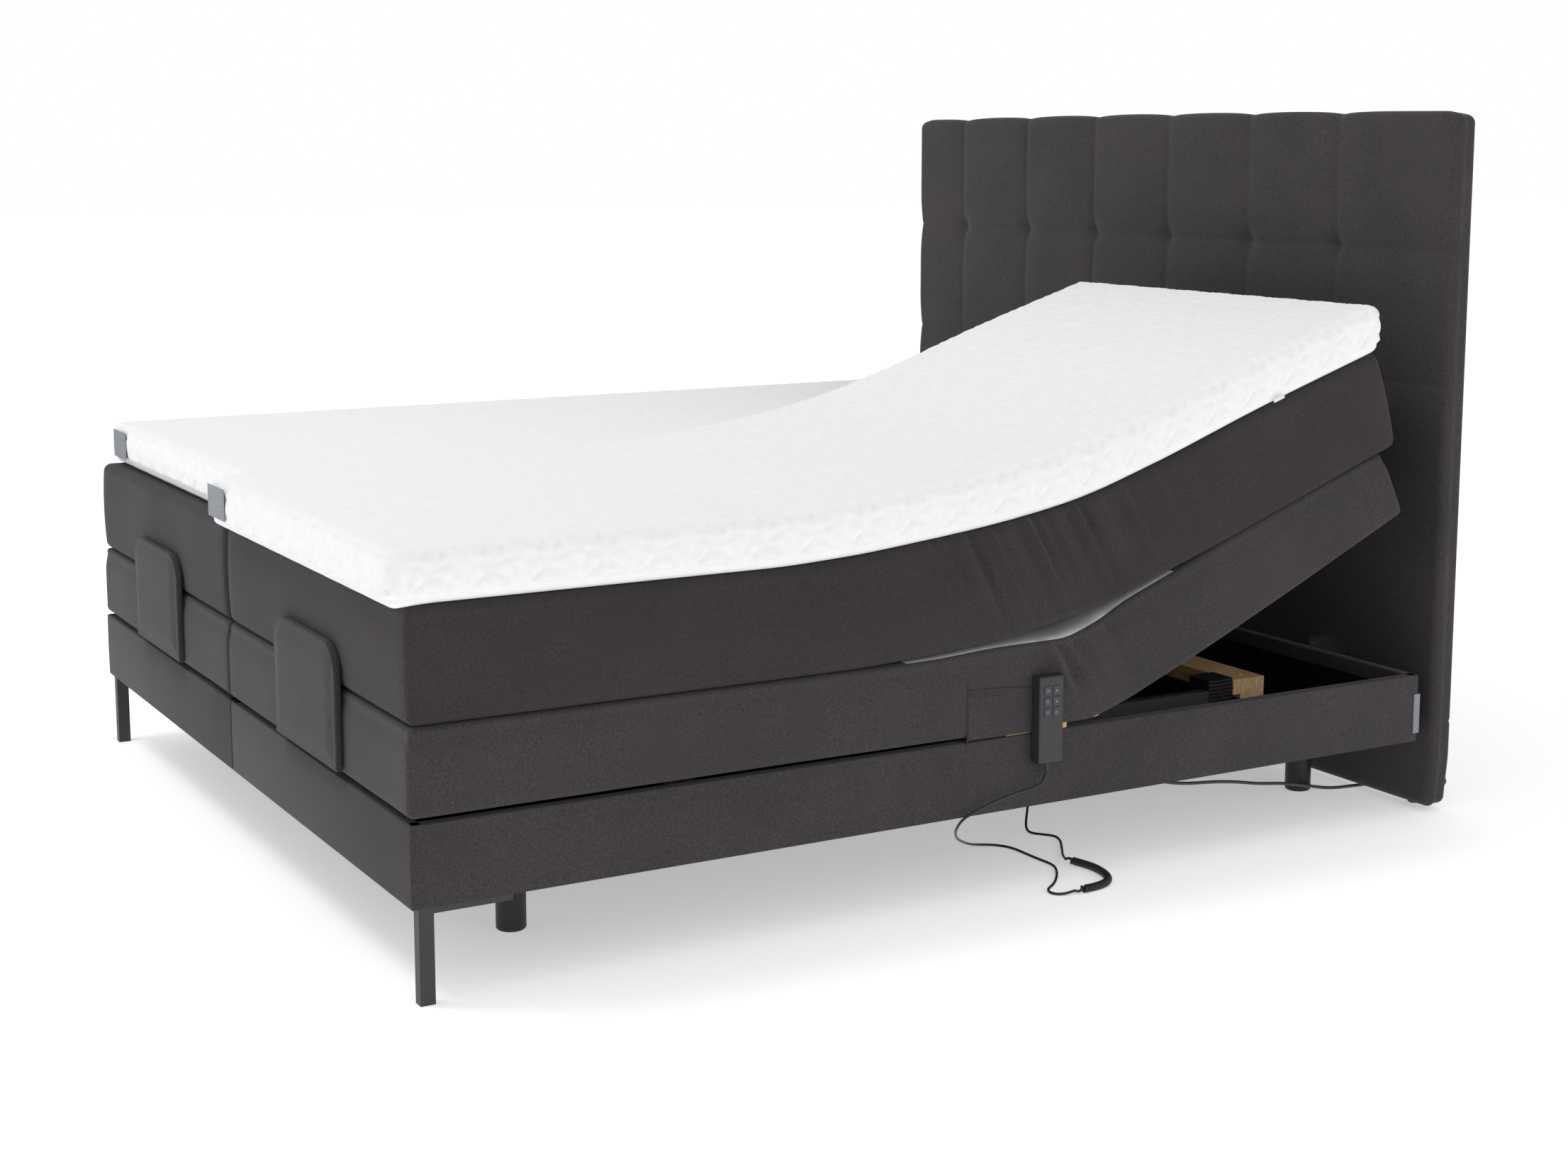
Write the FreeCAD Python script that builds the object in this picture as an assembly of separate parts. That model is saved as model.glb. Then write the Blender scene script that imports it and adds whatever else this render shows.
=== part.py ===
import FreeCAD, Part
import math
import os

# An adjustable double bed: two single units side by side, each a base box on legs, an
# upholstered box in hinged sections, a mattress and a topper, in front of one headboard.
# Millimetres. X runs across the bed (the right unit has positive X), Y from foot to head,
# Z up from the floor. "along" is the distance from the foot face of the base towards the
# head, and "inset" is the distance from a unit's outer side face towards the bed's middle.

os.makedirs("parts", exist_ok=True)

# --- driving sizes ---------------------------------------------------------------------
UNIT_WIDTH = 900.0
UNIT_LENGTH = 2000.0
SEAM = 1.0                      # half the gap between the two units
LEG_HEIGHT = 150.0
BASE_HEIGHT = 125.0
BOX_GAP = 13.0                  # from the top of the base to the section rails
RAIL_HEIGHT = 32.0
PAD_HEIGHT = 99.5
MATTRESS_HEIGHT = 179.7
TOPPER_HEIGHT = 83.7
REST_GAP = 0.3                  # between soft layers that lie on each other
SOFT_GAP = 0.6                  # between soft sections end to end

COVER = 1.5                     # upholstery over the base boards
BOARD = 18.0
FLOOR_BOARD = 16.0
FLOOR_RECESS = 24.0             # floor board's underside above the base's bottom edge
RAIL = 20.0
RAIL_INSET = 4.0
RAIL_PLAY = 1.0                 # between the two rails that share a pivot bolt
DECK = 12.0
CROSSBAR = 40.0
BOLT_RADIUS = 5.0
BOLT_PLAY = 0.05

KNEE_ALONG = 600.0
THIGH_PIVOT_ALONG = 1000.0
BACK_PIVOT_ALONG = 1245.0
BACK_REST_ANGLE = 24.0          # how far the right unit's back is raised at rest
LAYER_RATIO = 0.93              # mattress and lift arm turn per degree of the back section
LAYER_PIVOT_ALONG = 1185.0      # the mattress rolls over the bend about this line
LAYER_PIVOT_HEIGHT = 385.0
BACK_PAD_DROP = 8.0             # the back pad is thinner towards the head

TOPPER_OVERHANG = 26.0
TOPPER_SETBACK = 28.0
TOPPER_HEAD_LEAN = 32.0
HEAD_GAP = 41.0
HEADBOARD_CUSHION = 26.0
HEADBOARD_CORE = 28.0
HEADBOARD_TOP = 1315.0
HEADBOARD_LIFT = 12.0
GLIDE_RADIUS = 12.0

SHAFT_RADIUS = 12.5
SHAFT_HEIGHT = 238.0
BACK_ARM = 328.0
LEG_ARM = 248.0
ARM_RISE = 29.0
ROLLER_RADIUS = 15.0
ARM_SPREAD = 91.0
CARRIER_HALF = 237.0            # outer half width of the mechanism frame
CARRIER_RAIL = (20.0, 24.0)     # width, height
CARRIER_Z = 216.0
BEAM = (75.0, 38.0)
BEAM_HEAD_ALONG = 1732.0
BEAM_FOOT_ALONG = 520.0
RUBBER_BLOCK = 60.0

CORNER_LEG = (20.0, 24.0)
CORNER_ARM = (150.0, 170.0)     # along the side, along the foot
CORNER_PLATE = 10.0
SUPPORT_RADIUS = 25.0
SUPPORT_INSET = 260.0
SUPPORT_ALONG = (265.0, 1945.0)

RETAINER = (308.0, 15.0, 203.0)
RETAINER_BOTTOM = 292.0
RETAINER_SHIFT = 15.0
RETAINER_STAND_OFF = 2.0

POCKET = (180.0, 86.0, 2.4)
POCKET_ALONG = 978.0
POCKET_BOTTOM = 280.0
HANDSET = (50.0, 150.0, 24.3)
HANDSET_ALONG = 1131.0
HANDSET_BOTTOM = 228.0
KEY = (14.0, 15.0, 3.5)
KEY_PITCH = (18.0, 18.5)
KEY_TRAVEL = 0.8
HAND_CORD = 4.8
HAND_COIL = 14.0
MAINS_CORD = 6.4
MAINS_COIL_RADIUS = 36.0

# --- levels and places that follow from them -------------------------------------------
RIGHT = 1
LEFT = -1
SIDES = {"right": RIGHT, "left": LEFT}
TILT = {RIGHT: BACK_REST_ANGLE, LEFT: 0.0}
OVERHANG = {RIGHT: TOPPER_OVERHANG, LEFT: -TOPPER_SETBACK}

HEADBOARD_ALONG = UNIT_LENGTH + HEAD_GAP
HEADBOARD_BACK = HEADBOARD_ALONG + HEADBOARD_CUSHION + HEADBOARD_CORE
FOOT_Y = -(TOPPER_OVERHANG + HEADBOARD_BACK) / 2 + TOPPER_OVERHANG
BASE_TOP = LEG_HEIGHT + BASE_HEIGHT
RAIL_BOTTOM = BASE_TOP + BOX_GAP
RAIL_TOP = RAIL_BOTTOM + RAIL_HEIGHT
PIVOT_HEIGHT = RAIL_BOTTOM + RAIL_HEIGHT / 2
PAD_BOTTOM = RAIL_TOP + REST_GAP
PAD_TOP = PAD_BOTTOM + PAD_HEIGHT
MATTRESS_BOTTOM = PAD_TOP + REST_GAP
MATTRESS_TOP = MATTRESS_BOTTOM + MATTRESS_HEIGHT
TOPPER_BOTTOM = MATTRESS_TOP + REST_GAP
TOPPER_TOP = TOPPER_BOTTOM + TOPPER_HEIGHT
FLOOR_BOTTOM = LEG_HEIGHT + FLOOR_RECESS
FLOOR_TOP = FLOOR_BOTTOM + FLOOR_BOARD
INNER = UNIT_WIDTH - SEAM       # inset of a unit's face at the middle of the bed
OUTER_RAILS = (RAIL_INSET, RAIL_INSET + RAIL)
INNER_RAILS = (RAIL_INSET + RAIL + RAIL_PLAY, RAIL_INSET + 2 * RAIL + RAIL_PLAY)
ROUND_END = RAIL_HEIGHT / 2


# --- small builders ---------------------------------------------------------------------
def point(side, inset, along, z):
    """A place in the bed's frame from a unit's own distances."""
    return FreeCAD.Vector(side * (UNIT_WIDTH - inset), FOOT_Y + along, z)


def bar(side, insets, alongs, heights):
    """A rectangular bar between two insets, two distances along and two heights."""
    a = point(side, insets[0], alongs[0], heights[0])
    b = point(side, insets[1], alongs[1], heights[1])
    corner = FreeCAD.Vector(min(a.x, b.x), min(a.y, b.y), min(a.z, b.z))
    return Part.makeBox(abs(a.x - b.x), abs(a.y - b.y), abs(a.z - b.z), corner)


def prism(side, insets, outline):
    """An outline of (along, z) points, carried straight across between two insets."""
    a = side * (UNIT_WIDTH - insets[0])
    b = side * (UNIT_WIDTH - insets[1])
    low = min(a, b)
    corners = [FreeCAD.Vector(low, FOOT_Y + along, z) for along, z in outline]
    face = Part.Face(Part.makePolygon(corners + [corners[0]]))
    return face.extrude(FreeCAD.Vector(abs(a - b), 0, 0))


def across_rod(side, insets, along, z, radius):
    """A round rod that runs across the bed."""
    a = side * (UNIT_WIDTH - insets[0])
    b = side * (UNIT_WIDTH - insets[1])
    start = FreeCAD.Vector(min(a, b), FOOT_Y + along, z)
    return Part.makeCylinder(radius, abs(a - b), start, FreeCAD.Vector(1, 0, 0))


def post(side, inset, along, heights, radius):
    """A round upright post."""
    foot = point(side, inset, along, heights[0])
    return Part.makeCylinder(radius, heights[1] - heights[0], foot)


def turned(shape, along, z, angle):
    """A copy turned about a line across the bed; a positive angle raises the head end."""
    copy = shape.copy()
    copy.rotate(FreeCAD.Vector(0, FOOT_Y + along, z), FreeCAD.Vector(1, 0, 0), angle)
    return copy


def turned_point(along, z, pivot, angle):
    """Where turned() takes a point of an outline."""
    c = math.cos(math.radians(angle))
    s = math.sin(math.radians(angle))
    u = along - pivot[0]
    v = z - pivot[1]
    return (pivot[0] + c * u - s * v, pivot[1] + s * u + c * v)


def mirrored_insets(insets):
    """The same distances, measured from the unit's face at the middle of the bed."""
    return (INNER - insets[1], INNER - insets[0])


def both_sides(make, insets):
    """One piece near the outer side and one near the middle of the bed."""
    return [make(insets), make(mirrored_insets(insets))]


def save(name, *shapes):
    """One STEP file of the given separate solids."""
    solids = []
    for shape in shapes:
        solids.extend(shape if isinstance(shape, list) else [shape])
    Part.makeCompound(solids).exportStep("parts/%s.step" % name)


BACK_PIVOT = (BACK_PIVOT_ALONG, PIVOT_HEIGHT)
THIGH_PIVOT = (THIGH_PIVOT_ALONG, PIVOT_HEIGHT)
LAYER_PIVOT = (LAYER_PIVOT_ALONG, LAYER_PIVOT_HEIGHT)


# --- base boxes -------------------------------------------------------------------------
def base_boards(side):
    """Side, middle, foot and head boards of one base box."""
    heights = (LEG_HEIGHT, BASE_TOP)
    whole = (COVER, UNIT_LENGTH - COVER)
    boards = both_sides(lambda insets: bar(side, insets, whole, heights), (COVER, COVER + BOARD))
    between = (COVER + BOARD, INNER - COVER - BOARD)
    boards.append(bar(side, between, (COVER, COVER + BOARD), heights))
    boards.append(bar(side, between, (UNIT_LENGTH - COVER - BOARD, UNIT_LENGTH - COVER), heights))
    return boards


def base_cover(side):
    """The fabric round one base box, a closed band backed by the boards."""
    heights = (LEG_HEIGHT, BASE_TOP)
    outside = bar(side, (0, INNER), (0, UNIT_LENGTH), heights)
    inside = bar(side, (COVER, INNER - COVER), (COVER, UNIT_LENGTH - COVER), heights)
    return outside.cut(inside)


def base_floor(side):
    """The dark board inside one base box."""
    edge = COVER + BOARD
    heights = (FLOOR_BOTTOM, FLOOR_TOP)
    return bar(side, (edge, INNER - edge), (edge, UNIT_LENGTH - edge), heights)


def corner_leg(side):
    """A square steel leg under a plate with two arms, flush with the foot corner."""
    width, depth = CORNER_LEG
    start = CORNER_PLATE
    heights = (LEG_HEIGHT - CORNER_PLATE, LEG_HEIGHT)
    side_arm = bar(side, (0, width), (start, start + CORNER_ARM[0]), heights)
    foot_arm = bar(side, (0, CORNER_ARM[1]), (start, start + depth), heights)
    leg = bar(side, (0, width), (start, start + depth), (0, LEG_HEIGHT - CORNER_PLATE))
    return side_arm.fuse(foot_arm).fuse(leg).removeSplitter()


def support_legs(side):
    """Four round plastic legs that carry the floor board."""
    legs = []
    for inset in (SUPPORT_INSET, INNER - SUPPORT_INSET):
        for along in SUPPORT_ALONG:
            leg = post(side, inset, along, (0, FLOOR_BOTTOM), SUPPORT_RADIUS)
            rim = [e for e in leg.Edges if abs(e.BoundBox.ZMax) < 0.01]
            legs.append(leg.makeFillet(SUPPORT_RADIUS / 5, rim))
    return legs


# --- hinged sections --------------------------------------------------------------------
def rail(side, insets, alongs, round_at, bores):
    """A wooden rail with rounded ends and bolt holes at its pivots."""
    start, end = alongs
    flat_start = start + (ROUND_END if start in round_at else 0)
    flat_end = end - (ROUND_END if end in round_at else 0)
    shape = bar(side, insets, (flat_start, flat_end), (RAIL_BOTTOM, RAIL_TOP))
    for end_at, centre in ((start, flat_start), (end, flat_end)):
        if end_at in round_at:
            shape = shape.fuse(across_rod(side, insets, centre, PIVOT_HEIGHT, ROUND_END))
    for along in bores:
        shape = shape.cut(across_rod(side, insets, along, PIVOT_HEIGHT, BOLT_RADIUS + BOLT_PLAY))
    return shape.removeSplitter()


def deck(side, insets, alongs):
    """The board that carries a pad, let in between the rails."""
    return bar(side, insets, alongs, (RAIL_TOP - DECK, RAIL_TOP))


def crossbar(side, insets, along, width):
    """A bar under a deck, between the rails."""
    return bar(side, insets, (along, along + width), (RAIL_BOTTOM, RAIL_TOP - DECK))


BETWEEN_OUTER = (OUTER_RAILS[1], INNER - OUTER_RAILS[1])
BETWEEN_INNER = (INNER_RAILS[1], INNER - INNER_RAILS[1])
HEAD_END = UNIT_LENGTH - 10.0
FOOT_END = 10.0
DECK_PLAY = 4.0


def seat_frame(side):
    """The fixed section: its rails carry the back and thigh pivots."""
    ends = (THIGH_PIVOT_ALONG - ROUND_END, BACK_PIVOT_ALONG + ROUND_END)
    pivots = (THIGH_PIVOT_ALONG, BACK_PIVOT_ALONG)
    pieces = both_sides(lambda insets: rail(side, insets, ends, ends, pivots), OUTER_RAILS)
    free = (ends[0] + 2 * ROUND_END + DECK_PLAY, ends[1] - 2 * ROUND_END - DECK_PLAY)
    pieces.append(deck(side, BETWEEN_OUTER, free))
    for along in (free[0] + CROSSBAR / 2, free[1] - 3 * CROSSBAR / 2):
        pieces.append(crossbar(side, BETWEEN_OUTER, along, CROSSBAR))
    block = (free[0] + CROSSBAR, free[1] - CROSSBAR)
    pieces += both_sides(
        lambda insets: bar(side, insets, block, (BASE_TOP, RAIL_BOTTOM)), (RAIL_INSET, COVER + BOARD)
    )
    return pieces


def back_frame(side):
    """The back section's frame, flat."""
    start = BACK_PIVOT_ALONG - ROUND_END
    pieces = both_sides(
        lambda insets: rail(side, insets, (start, HEAD_END), (start,), (BACK_PIVOT_ALONG,)),
        INNER_RAILS,
    )
    pieces.append(deck(side, BETWEEN_INNER, (BACK_PIVOT_ALONG + ROUND_END + 1, HEAD_END)))
    pieces.append(crossbar(side, BETWEEN_INNER, BACK_PIVOT_ALONG + CROSSBAR / 2, CROSSBAR))
    pieces.append(crossbar(side, BETWEEN_INNER, BACK_PIVOT_ALONG + BACK_ARM - 73, 100))
    pieces.append(crossbar(side, BETWEEN_INNER, HEAD_END - CROSSBAR, CROSSBAR))
    return pieces


def thigh_frame(side):
    """The thigh section's frame and the bolts of the knee pivot."""
    ends = (KNEE_ALONG - ROUND_END, THIGH_PIVOT_ALONG + ROUND_END)
    pivots = (KNEE_ALONG, THIGH_PIVOT_ALONG)
    pieces = both_sides(lambda insets: rail(side, insets, ends, ends, pivots), INNER_RAILS)
    free = (KNEE_ALONG + DECK_PLAY, THIGH_PIVOT_ALONG - ROUND_END - 1)
    pieces.append(deck(side, BETWEEN_INNER, free))
    pieces.append(crossbar(side, BETWEEN_INNER, KNEE_ALONG + CROSSBAR / 2, CROSSBAR))
    pieces.append(crossbar(side, BETWEEN_INNER, THIGH_PIVOT_ALONG - LEG_ARM - 52, 100))
    pieces += both_sides(lambda insets: bolt(side, insets, KNEE_ALONG), BOLT_INSETS)
    return pieces


def calf_frame(side):
    """The calf section's frame."""
    end = KNEE_ALONG + ROUND_END
    pieces = both_sides(
        lambda insets: rail(side, insets, (FOOT_END, end), (end,), (KNEE_ALONG,)), OUTER_RAILS
    )
    last = KNEE_ALONG - ROUND_END - DECK_PLAY
    pieces.append(deck(side, BETWEEN_OUTER, (FOOT_END, last)))
    for along in (FOOT_END, last / 2, last - CROSSBAR):
        pieces.append(crossbar(side, BETWEEN_OUTER, along, CROSSBAR))
    return pieces


BOLT_INSETS = (RAIL_INSET, INNER_RAILS[1] + 2)


def bolt(side, insets, along):
    """A pivot bolt with a flat head proud of the outer rail."""
    shank = across_rod(side, insets, along, PIVOT_HEIGHT, BOLT_RADIUS)
    outer = insets[0] < UNIT_WIDTH / 2
    edge = insets[0] if outer else insets[1]
    head = (edge - 3, edge) if outer else (edge, edge + 3)
    return shank.fuse(across_rod(side, head, along, PIVOT_HEIGHT, 9))


# --- soft layers ------------------------------------------------------------------------
WIDE = (0, INNER)


def layer(side, alongs_bottom, alongs_top, heights):
    """A soft section whose ends may slope: start and end along its bottom and its top."""
    outline = [
        (alongs_bottom[0], heights[0]),
        (alongs_bottom[1], heights[0]),
        (alongs_top[1], heights[1]),
        (alongs_top[0], heights[1]),
    ]
    return prism(side, WIDE, outline)


PAD_HEIGHTS = (PAD_BOTTOM, PAD_TOP)
MATTRESS_HEIGHTS = (MATTRESS_BOTTOM, MATTRESS_TOP)
TOPPER_HEIGHTS = (TOPPER_BOTTOM, TOPPER_TOP)
# where the thigh's layers end and the back's begin, at the bottom and top of each layer
THIGH_PAD = (THIGH_PIVOT_ALONG - 15, THIGH_PIVOT_ALONG - 40)
THIGH_MATTRESS = (THIGH_PIVOT_ALONG - 45, THIGH_PIVOT_ALONG - 95)
THIGH_TOPPER = (THIGH_PIVOT_ALONG - 96, THIGH_PIVOT_ALONG - 120)
BACK_PAD = (BACK_PIVOT_ALONG + 17, BACK_PIVOT_ALONG + 45)
BACK_MATTRESS = (BACK_PIVOT_ALONG + 55, BACK_PIVOT_ALONG + 175)
BACK_TOPPER = (BACK_PIVOT_ALONG + 177, BACK_PIVOT_ALONG + 235)


def back_pad(side):
    outline = [
        (BACK_PAD[0], PAD_BOTTOM),
        (UNIT_LENGTH, PAD_BOTTOM),
        (UNIT_LENGTH, PAD_TOP - BACK_PAD_DROP),
        (BACK_PAD[1], PAD_TOP),
    ]
    return turned(prism(side, WIDE, outline), *BACK_PIVOT, TILT[side])


def back_mattress(side):
    flat = layer(
        side, (BACK_MATTRESS[0], UNIT_LENGTH), (BACK_MATTRESS[1], UNIT_LENGTH), MATTRESS_HEIGHTS
    )
    return turned(flat, *LAYER_PIVOT, LAYER_RATIO * TILT[side])


def back_topper(side):
    """The topper leans out at the head where the bend has pushed it."""
    lean = TOPPER_HEAD_LEAN if TILT[side] else 0
    end = UNIT_LENGTH if TILT[side] else UNIT_LENGTH - OVERHANG[side]
    flat = layer(side, (BACK_TOPPER[0], end), (BACK_TOPPER[1], end + lean), TOPPER_HEIGHTS)
    return turned(flat, *LAYER_PIVOT, LAYER_RATIO * TILT[side])


def thigh_layer(side, inner, heights):
    start = KNEE_ALONG + SOFT_GAP / 2
    return layer(side, (start, inner[0]), (start, inner[1]), heights)


def calf_layer(side, start, heights):
    end = KNEE_ALONG - SOFT_GAP / 2
    return layer(side, (start, end), (start, end), heights)


def seat_outline(side, thigh, back, heights, pivot, angle, bends):
    """A seat section's outline, from the thigh's sloping end to the back's where it rests.
    bends gives how far (along, up) the lower and upper edges rise on the raised unit."""
    lower = turned_point(back[0], heights[0], pivot, angle)
    upper = turned_point(back[1], heights[1], pivot, angle)
    outline = [(thigh[1] + SOFT_GAP, heights[1]), (thigh[0] + SOFT_GAP, heights[0])]
    if angle:
        outline += [(along, heights[0] + up) for along, up in bends[0]]
    outline.append((lower[0] - SOFT_GAP, lower[1]))
    outline.append((upper[0] - SOFT_GAP, upper[1]))
    if angle:
        outline += [(along, heights[1] + up) for along, up in reversed(bends[1])]
    return outline


def seat_pad(side):
    angle = TILT[side]
    upper = turned_point(BACK_PAD[1], PAD_TOP, BACK_PIVOT, angle)
    corner = BACK_PIVOT_ALONG - 9 if angle else BACK_PAD[0] - SOFT_GAP
    outline = [
        (THIGH_PAD[1] + SOFT_GAP, PAD_TOP),
        (THIGH_PAD[0] + SOFT_GAP, PAD_BOTTOM),
        (corner, PAD_BOTTOM),
        (upper[0] - SOFT_GAP, PAD_TOP),
    ]
    return prism(side, WIDE, outline)


MATTRESS_BENDS = [[(1060, 12), (1170, 26)], [(1050, 24), (1197, 49)]]
TOPPER_BENDS = [MATTRESS_BENDS[1], [(1050, 32), (1197, 61)]]


def seat_mattress(side):
    angle = LAYER_RATIO * TILT[side]
    outline = seat_outline(
        side, THIGH_MATTRESS, BACK_MATTRESS, MATTRESS_HEIGHTS, LAYER_PIVOT, angle, MATTRESS_BENDS
    )
    return prism(side, WIDE, outline)


def seat_topper(side):
    angle = LAYER_RATIO * TILT[side]
    outline = seat_outline(
        side, THIGH_TOPPER, BACK_TOPPER, TOPPER_HEIGHTS, LAYER_PIVOT, angle, TOPPER_BENDS
    )
    return prism(side, WIDE, outline)


def retainer(side):
    """The upholstered plate at the foot that keeps the mattress in place."""
    width, thick, height = RETAINER
    middle = UNIT_WIDTH / 2 - side * RETAINER_SHIFT
    insets = (middle - width / 2, middle + width / 2)
    front = -RETAINER_STAND_OFF - thick
    heights = (RETAINER_BOTTOM, RETAINER_BOTTOM + height)
    plate = bar(side, insets, (front, -RETAINER_STAND_OFF), heights)
    top = [
        e for e in plate.Edges
        if abs(e.BoundBox.ZMin - heights[1]) < 0.01 and e.BoundBox.YLength > thick / 2
    ]
    plate = plate.makeFillet(width / 6, top)
    inner = (middle - width / 3, middle + width / 3)
    pad = (-RETAINER_STAND_OFF, -REST_GAP)
    return plate.fuse(bar(side, inner, pad, (PAD_BOTTOM, PAD_TOP - BOARD)))


# --- lifting mechanism ------------------------------------------------------------------
MIDDLE = INNER / 2


def carrier(side):
    """Two steel rails with bearing plates for the lift shafts."""
    pieces = []
    width, height = CARRIER_RAIL
    alongs = (BEAM_FOOT_ALONG + BEAM[0] + RUBBER_BLOCK, BEAM_HEAD_ALONG - RUBBER_BLOCK)
    for sign in (-1, 1):
        outer = MIDDLE + sign * CARRIER_HALF
        inner = MIDDLE + sign * (CARRIER_HALF - width)
        rail_insets = (min(outer, inner), max(outer, inner))
        shape = bar(side, rail_insets, alongs, (CARRIER_Z, CARRIER_Z + height))
        face = MIDDLE + sign * (CARRIER_HALF - width - 8)
        plate_insets = (min(inner, face), max(inner, face))
        for along in (THIGH_PIVOT_ALONG, BACK_PIVOT_ALONG):
            plate = bar(side, plate_insets, (along - 28, along + 28), (CARRIER_Z, SHAFT_HEIGHT + 28))
            bore = across_rod(side, plate_insets, along, SHAFT_HEIGHT, SHAFT_RADIUS + BOLT_PLAY)
            shape = shape.fuse(plate.cut(bore))
        pieces.append(shape.removeSplitter())
    return pieces


def beams(side):
    """Beech crossbars at both ends of the carrier, each with a rabbet under its ends."""
    insets = (MIDDLE - CARRIER_HALF, MIDDLE + CARRIER_HALF)
    pieces = []
    for along in (BEAM_FOOT_ALONG, BEAM_HEAD_ALONG):
        beam = bar(side, insets, (along, along + BEAM[0]), (CARRIER_Z, CARRIER_Z + BEAM[1]))
        inward = along if along > BACK_PIVOT_ALONG else along + BEAM[0] - 18
        rabbet = (inward, inward + 18)
        beam = beam.cut(bar(side, insets, rabbet, (CARRIER_Z, CARRIER_Z + 9)))
        for inset in (insets[0] + 30, insets[1] - 30):
            top = (CARRIER_Z + BEAM[1] - 6, CARRIER_Z + BEAM[1])
            beam = beam.cut(post(side, inset, along + 48, top, 6))
        pieces.append(beam)
    return pieces


def rubber_blocks(side):
    """The corner joints: each stands on the floor board and takes a rail's end."""
    pieces = []
    starts = (BEAM_FOOT_ALONG + BEAM[0], BEAM_HEAD_ALONG - RUBBER_BLOCK)
    for sign in (-1, 1):
        outer = MIDDLE + sign * CARRIER_HALF
        inner = MIDDLE + sign * (CARRIER_HALF - RUBBER_BLOCK)
        insets = (min(outer, inner), max(outer, inner))
        for start in starts:
            heights = (FLOOR_TOP, CARRIER_Z + BEAM[1] + 4)
            block = bar(side, insets, (start, start + RUBBER_BLOCK), heights)
            upright = [e for e in block.Edges if e.BoundBox.ZLength > RUBBER_BLOCK]
            pieces.append(block.makeFillet(6, upright))
    return pieces


def lift(side, along, length, direction, angle):
    """A shaft with two roller arms and the motor's lever; direction is 1 towards the head."""
    play = 0.3
    ends = (MIDDLE - CARRIER_HALF + CARRIER_RAIL[0] + play, MIDDLE + CARRIER_HALF - CARRIER_RAIL[0] - play)
    shape = across_rod(side, ends, along, SHAFT_HEIGHT, SHAFT_RADIUS)
    tip = (along + direction * length, SHAFT_HEIGHT + ARM_RISE)
    slope = math.atan2(ARM_RISE, direction * length)
    up = (-math.sin(slope) * 11, math.cos(slope) * 11)
    outline = [
        (along - up[0], SHAFT_HEIGHT - up[1]),
        (tip[0] - up[0], tip[1] - up[1]),
        (tip[0] + up[0], tip[1] + up[1]),
        (along + up[0], SHAFT_HEIGHT + up[1]),
    ]
    for sign in (-1, 1):
        centre = MIDDLE + sign * ARM_SPREAD
        arm = (centre - 4, centre + 4)
        shape = shape.fuse(prism(side, arm, outline))
        shape = shape.fuse(across_rod(side, arm, along, SHAFT_HEIGHT, 20))
        shape = shape.fuse(across_rod(side, (centre - 12, centre + 12), *tip, ROLLER_RADIUS))
    lever = (MIDDLE - 10, MIDDLE + 10)
    shape = shape.fuse(bar(side, lever, (along - 6, along + 6), (SHAFT_HEIGHT - 40, SHAFT_HEIGHT)))
    return turned(shape, along, SHAFT_HEIGHT, angle)


def motor(side):
    """The double drive: a housing hung from both shafts by its saddle plates."""
    gap = 48.0
    housing = bar(
        side,
        (MIDDLE - 70, MIDDLE + 70),
        (THIGH_PIVOT_ALONG + gap, BACK_PIVOT_ALONG - gap),
        (FLOOR_TOP + REST_GAP, SHAFT_HEIGHT + 30),
    )
    upright = [e for e in housing.Edges if e.BoundBox.ZLength > 50]
    shape = housing.makeFillet(12, upright)
    for inset in (MIDDLE - 65, MIDDLE + 57):
        plate = (inset, inset + 8)
        heights = (SHAFT_HEIGHT - 18, SHAFT_HEIGHT + 18)
        saddle = bar(side, plate, (THIGH_PIVOT_ALONG, BACK_PIVOT_ALONG), heights)
        for along in (THIGH_PIVOT_ALONG, BACK_PIVOT_ALONG):
            saddle = saddle.fuse(across_rod(side, plate, along, SHAFT_HEIGHT, 18))
        shape = shape.fuse(saddle)
        for along in (THIGH_PIVOT_ALONG, BACK_PIVOT_ALONG):
            shape = shape.cut(across_rod(side, plate, along, SHAFT_HEIGHT, SHAFT_RADIUS + BOLT_PLAY))
    return shape.removeSplitter()


def screws(side):
    """Screws sunk in the beams and in the outer face of the rubber corner joints."""
    pieces = []
    insets = (MIDDLE - CARRIER_HALF, MIDDLE + CARRIER_HALF)
    for along in (BEAM_FOOT_ALONG, BEAM_HEAD_ALONG):
        for inset in (insets[0] + 30, insets[1] - 30):
            top = CARRIER_Z + BEAM[1]
            pieces.append(post(side, inset, along + 48, (top - 6, top - 2), 5))
    for start in (BEAM_FOOT_ALONG + BEAM[0], BEAM_HEAD_ALONG - RUBBER_BLOCK):
        for head in ((insets[0] - 2.5, insets[0]), (insets[1], insets[1] + 2.5)):
            pieces.append(across_rod(side, head, start + RUBBER_BLOCK / 2, CARRIER_Z + 14, 6))
    return pieces


# --- headboard --------------------------------------------------------------------------
def headboard_slab(alongs):
    low = FreeCAD.Vector(-UNIT_WIDTH, FOOT_Y + alongs[0], HEADBOARD_LIFT)
    return Part.makeBox(2 * UNIT_WIDTH, alongs[1] - alongs[0], HEADBOARD_TOP - HEADBOARD_LIFT, low)


def headboard_brackets(side):
    """Chrome clips between the base's head end and the headboard."""
    pieces = []
    for inset in (290, INNER - 290):
        block = bar(
            side, (inset - 12, inset + 12), (UNIT_LENGTH, HEADBOARD_ALONG), (BASE_TOP - 45, BASE_TOP + 22)
        )
        top = [e for e in block.Edges if e.BoundBox.ZMin > BASE_TOP and e.BoundBox.YLength > 20]
        pieces.append(block.makeFillet(5, top))
    return pieces


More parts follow.
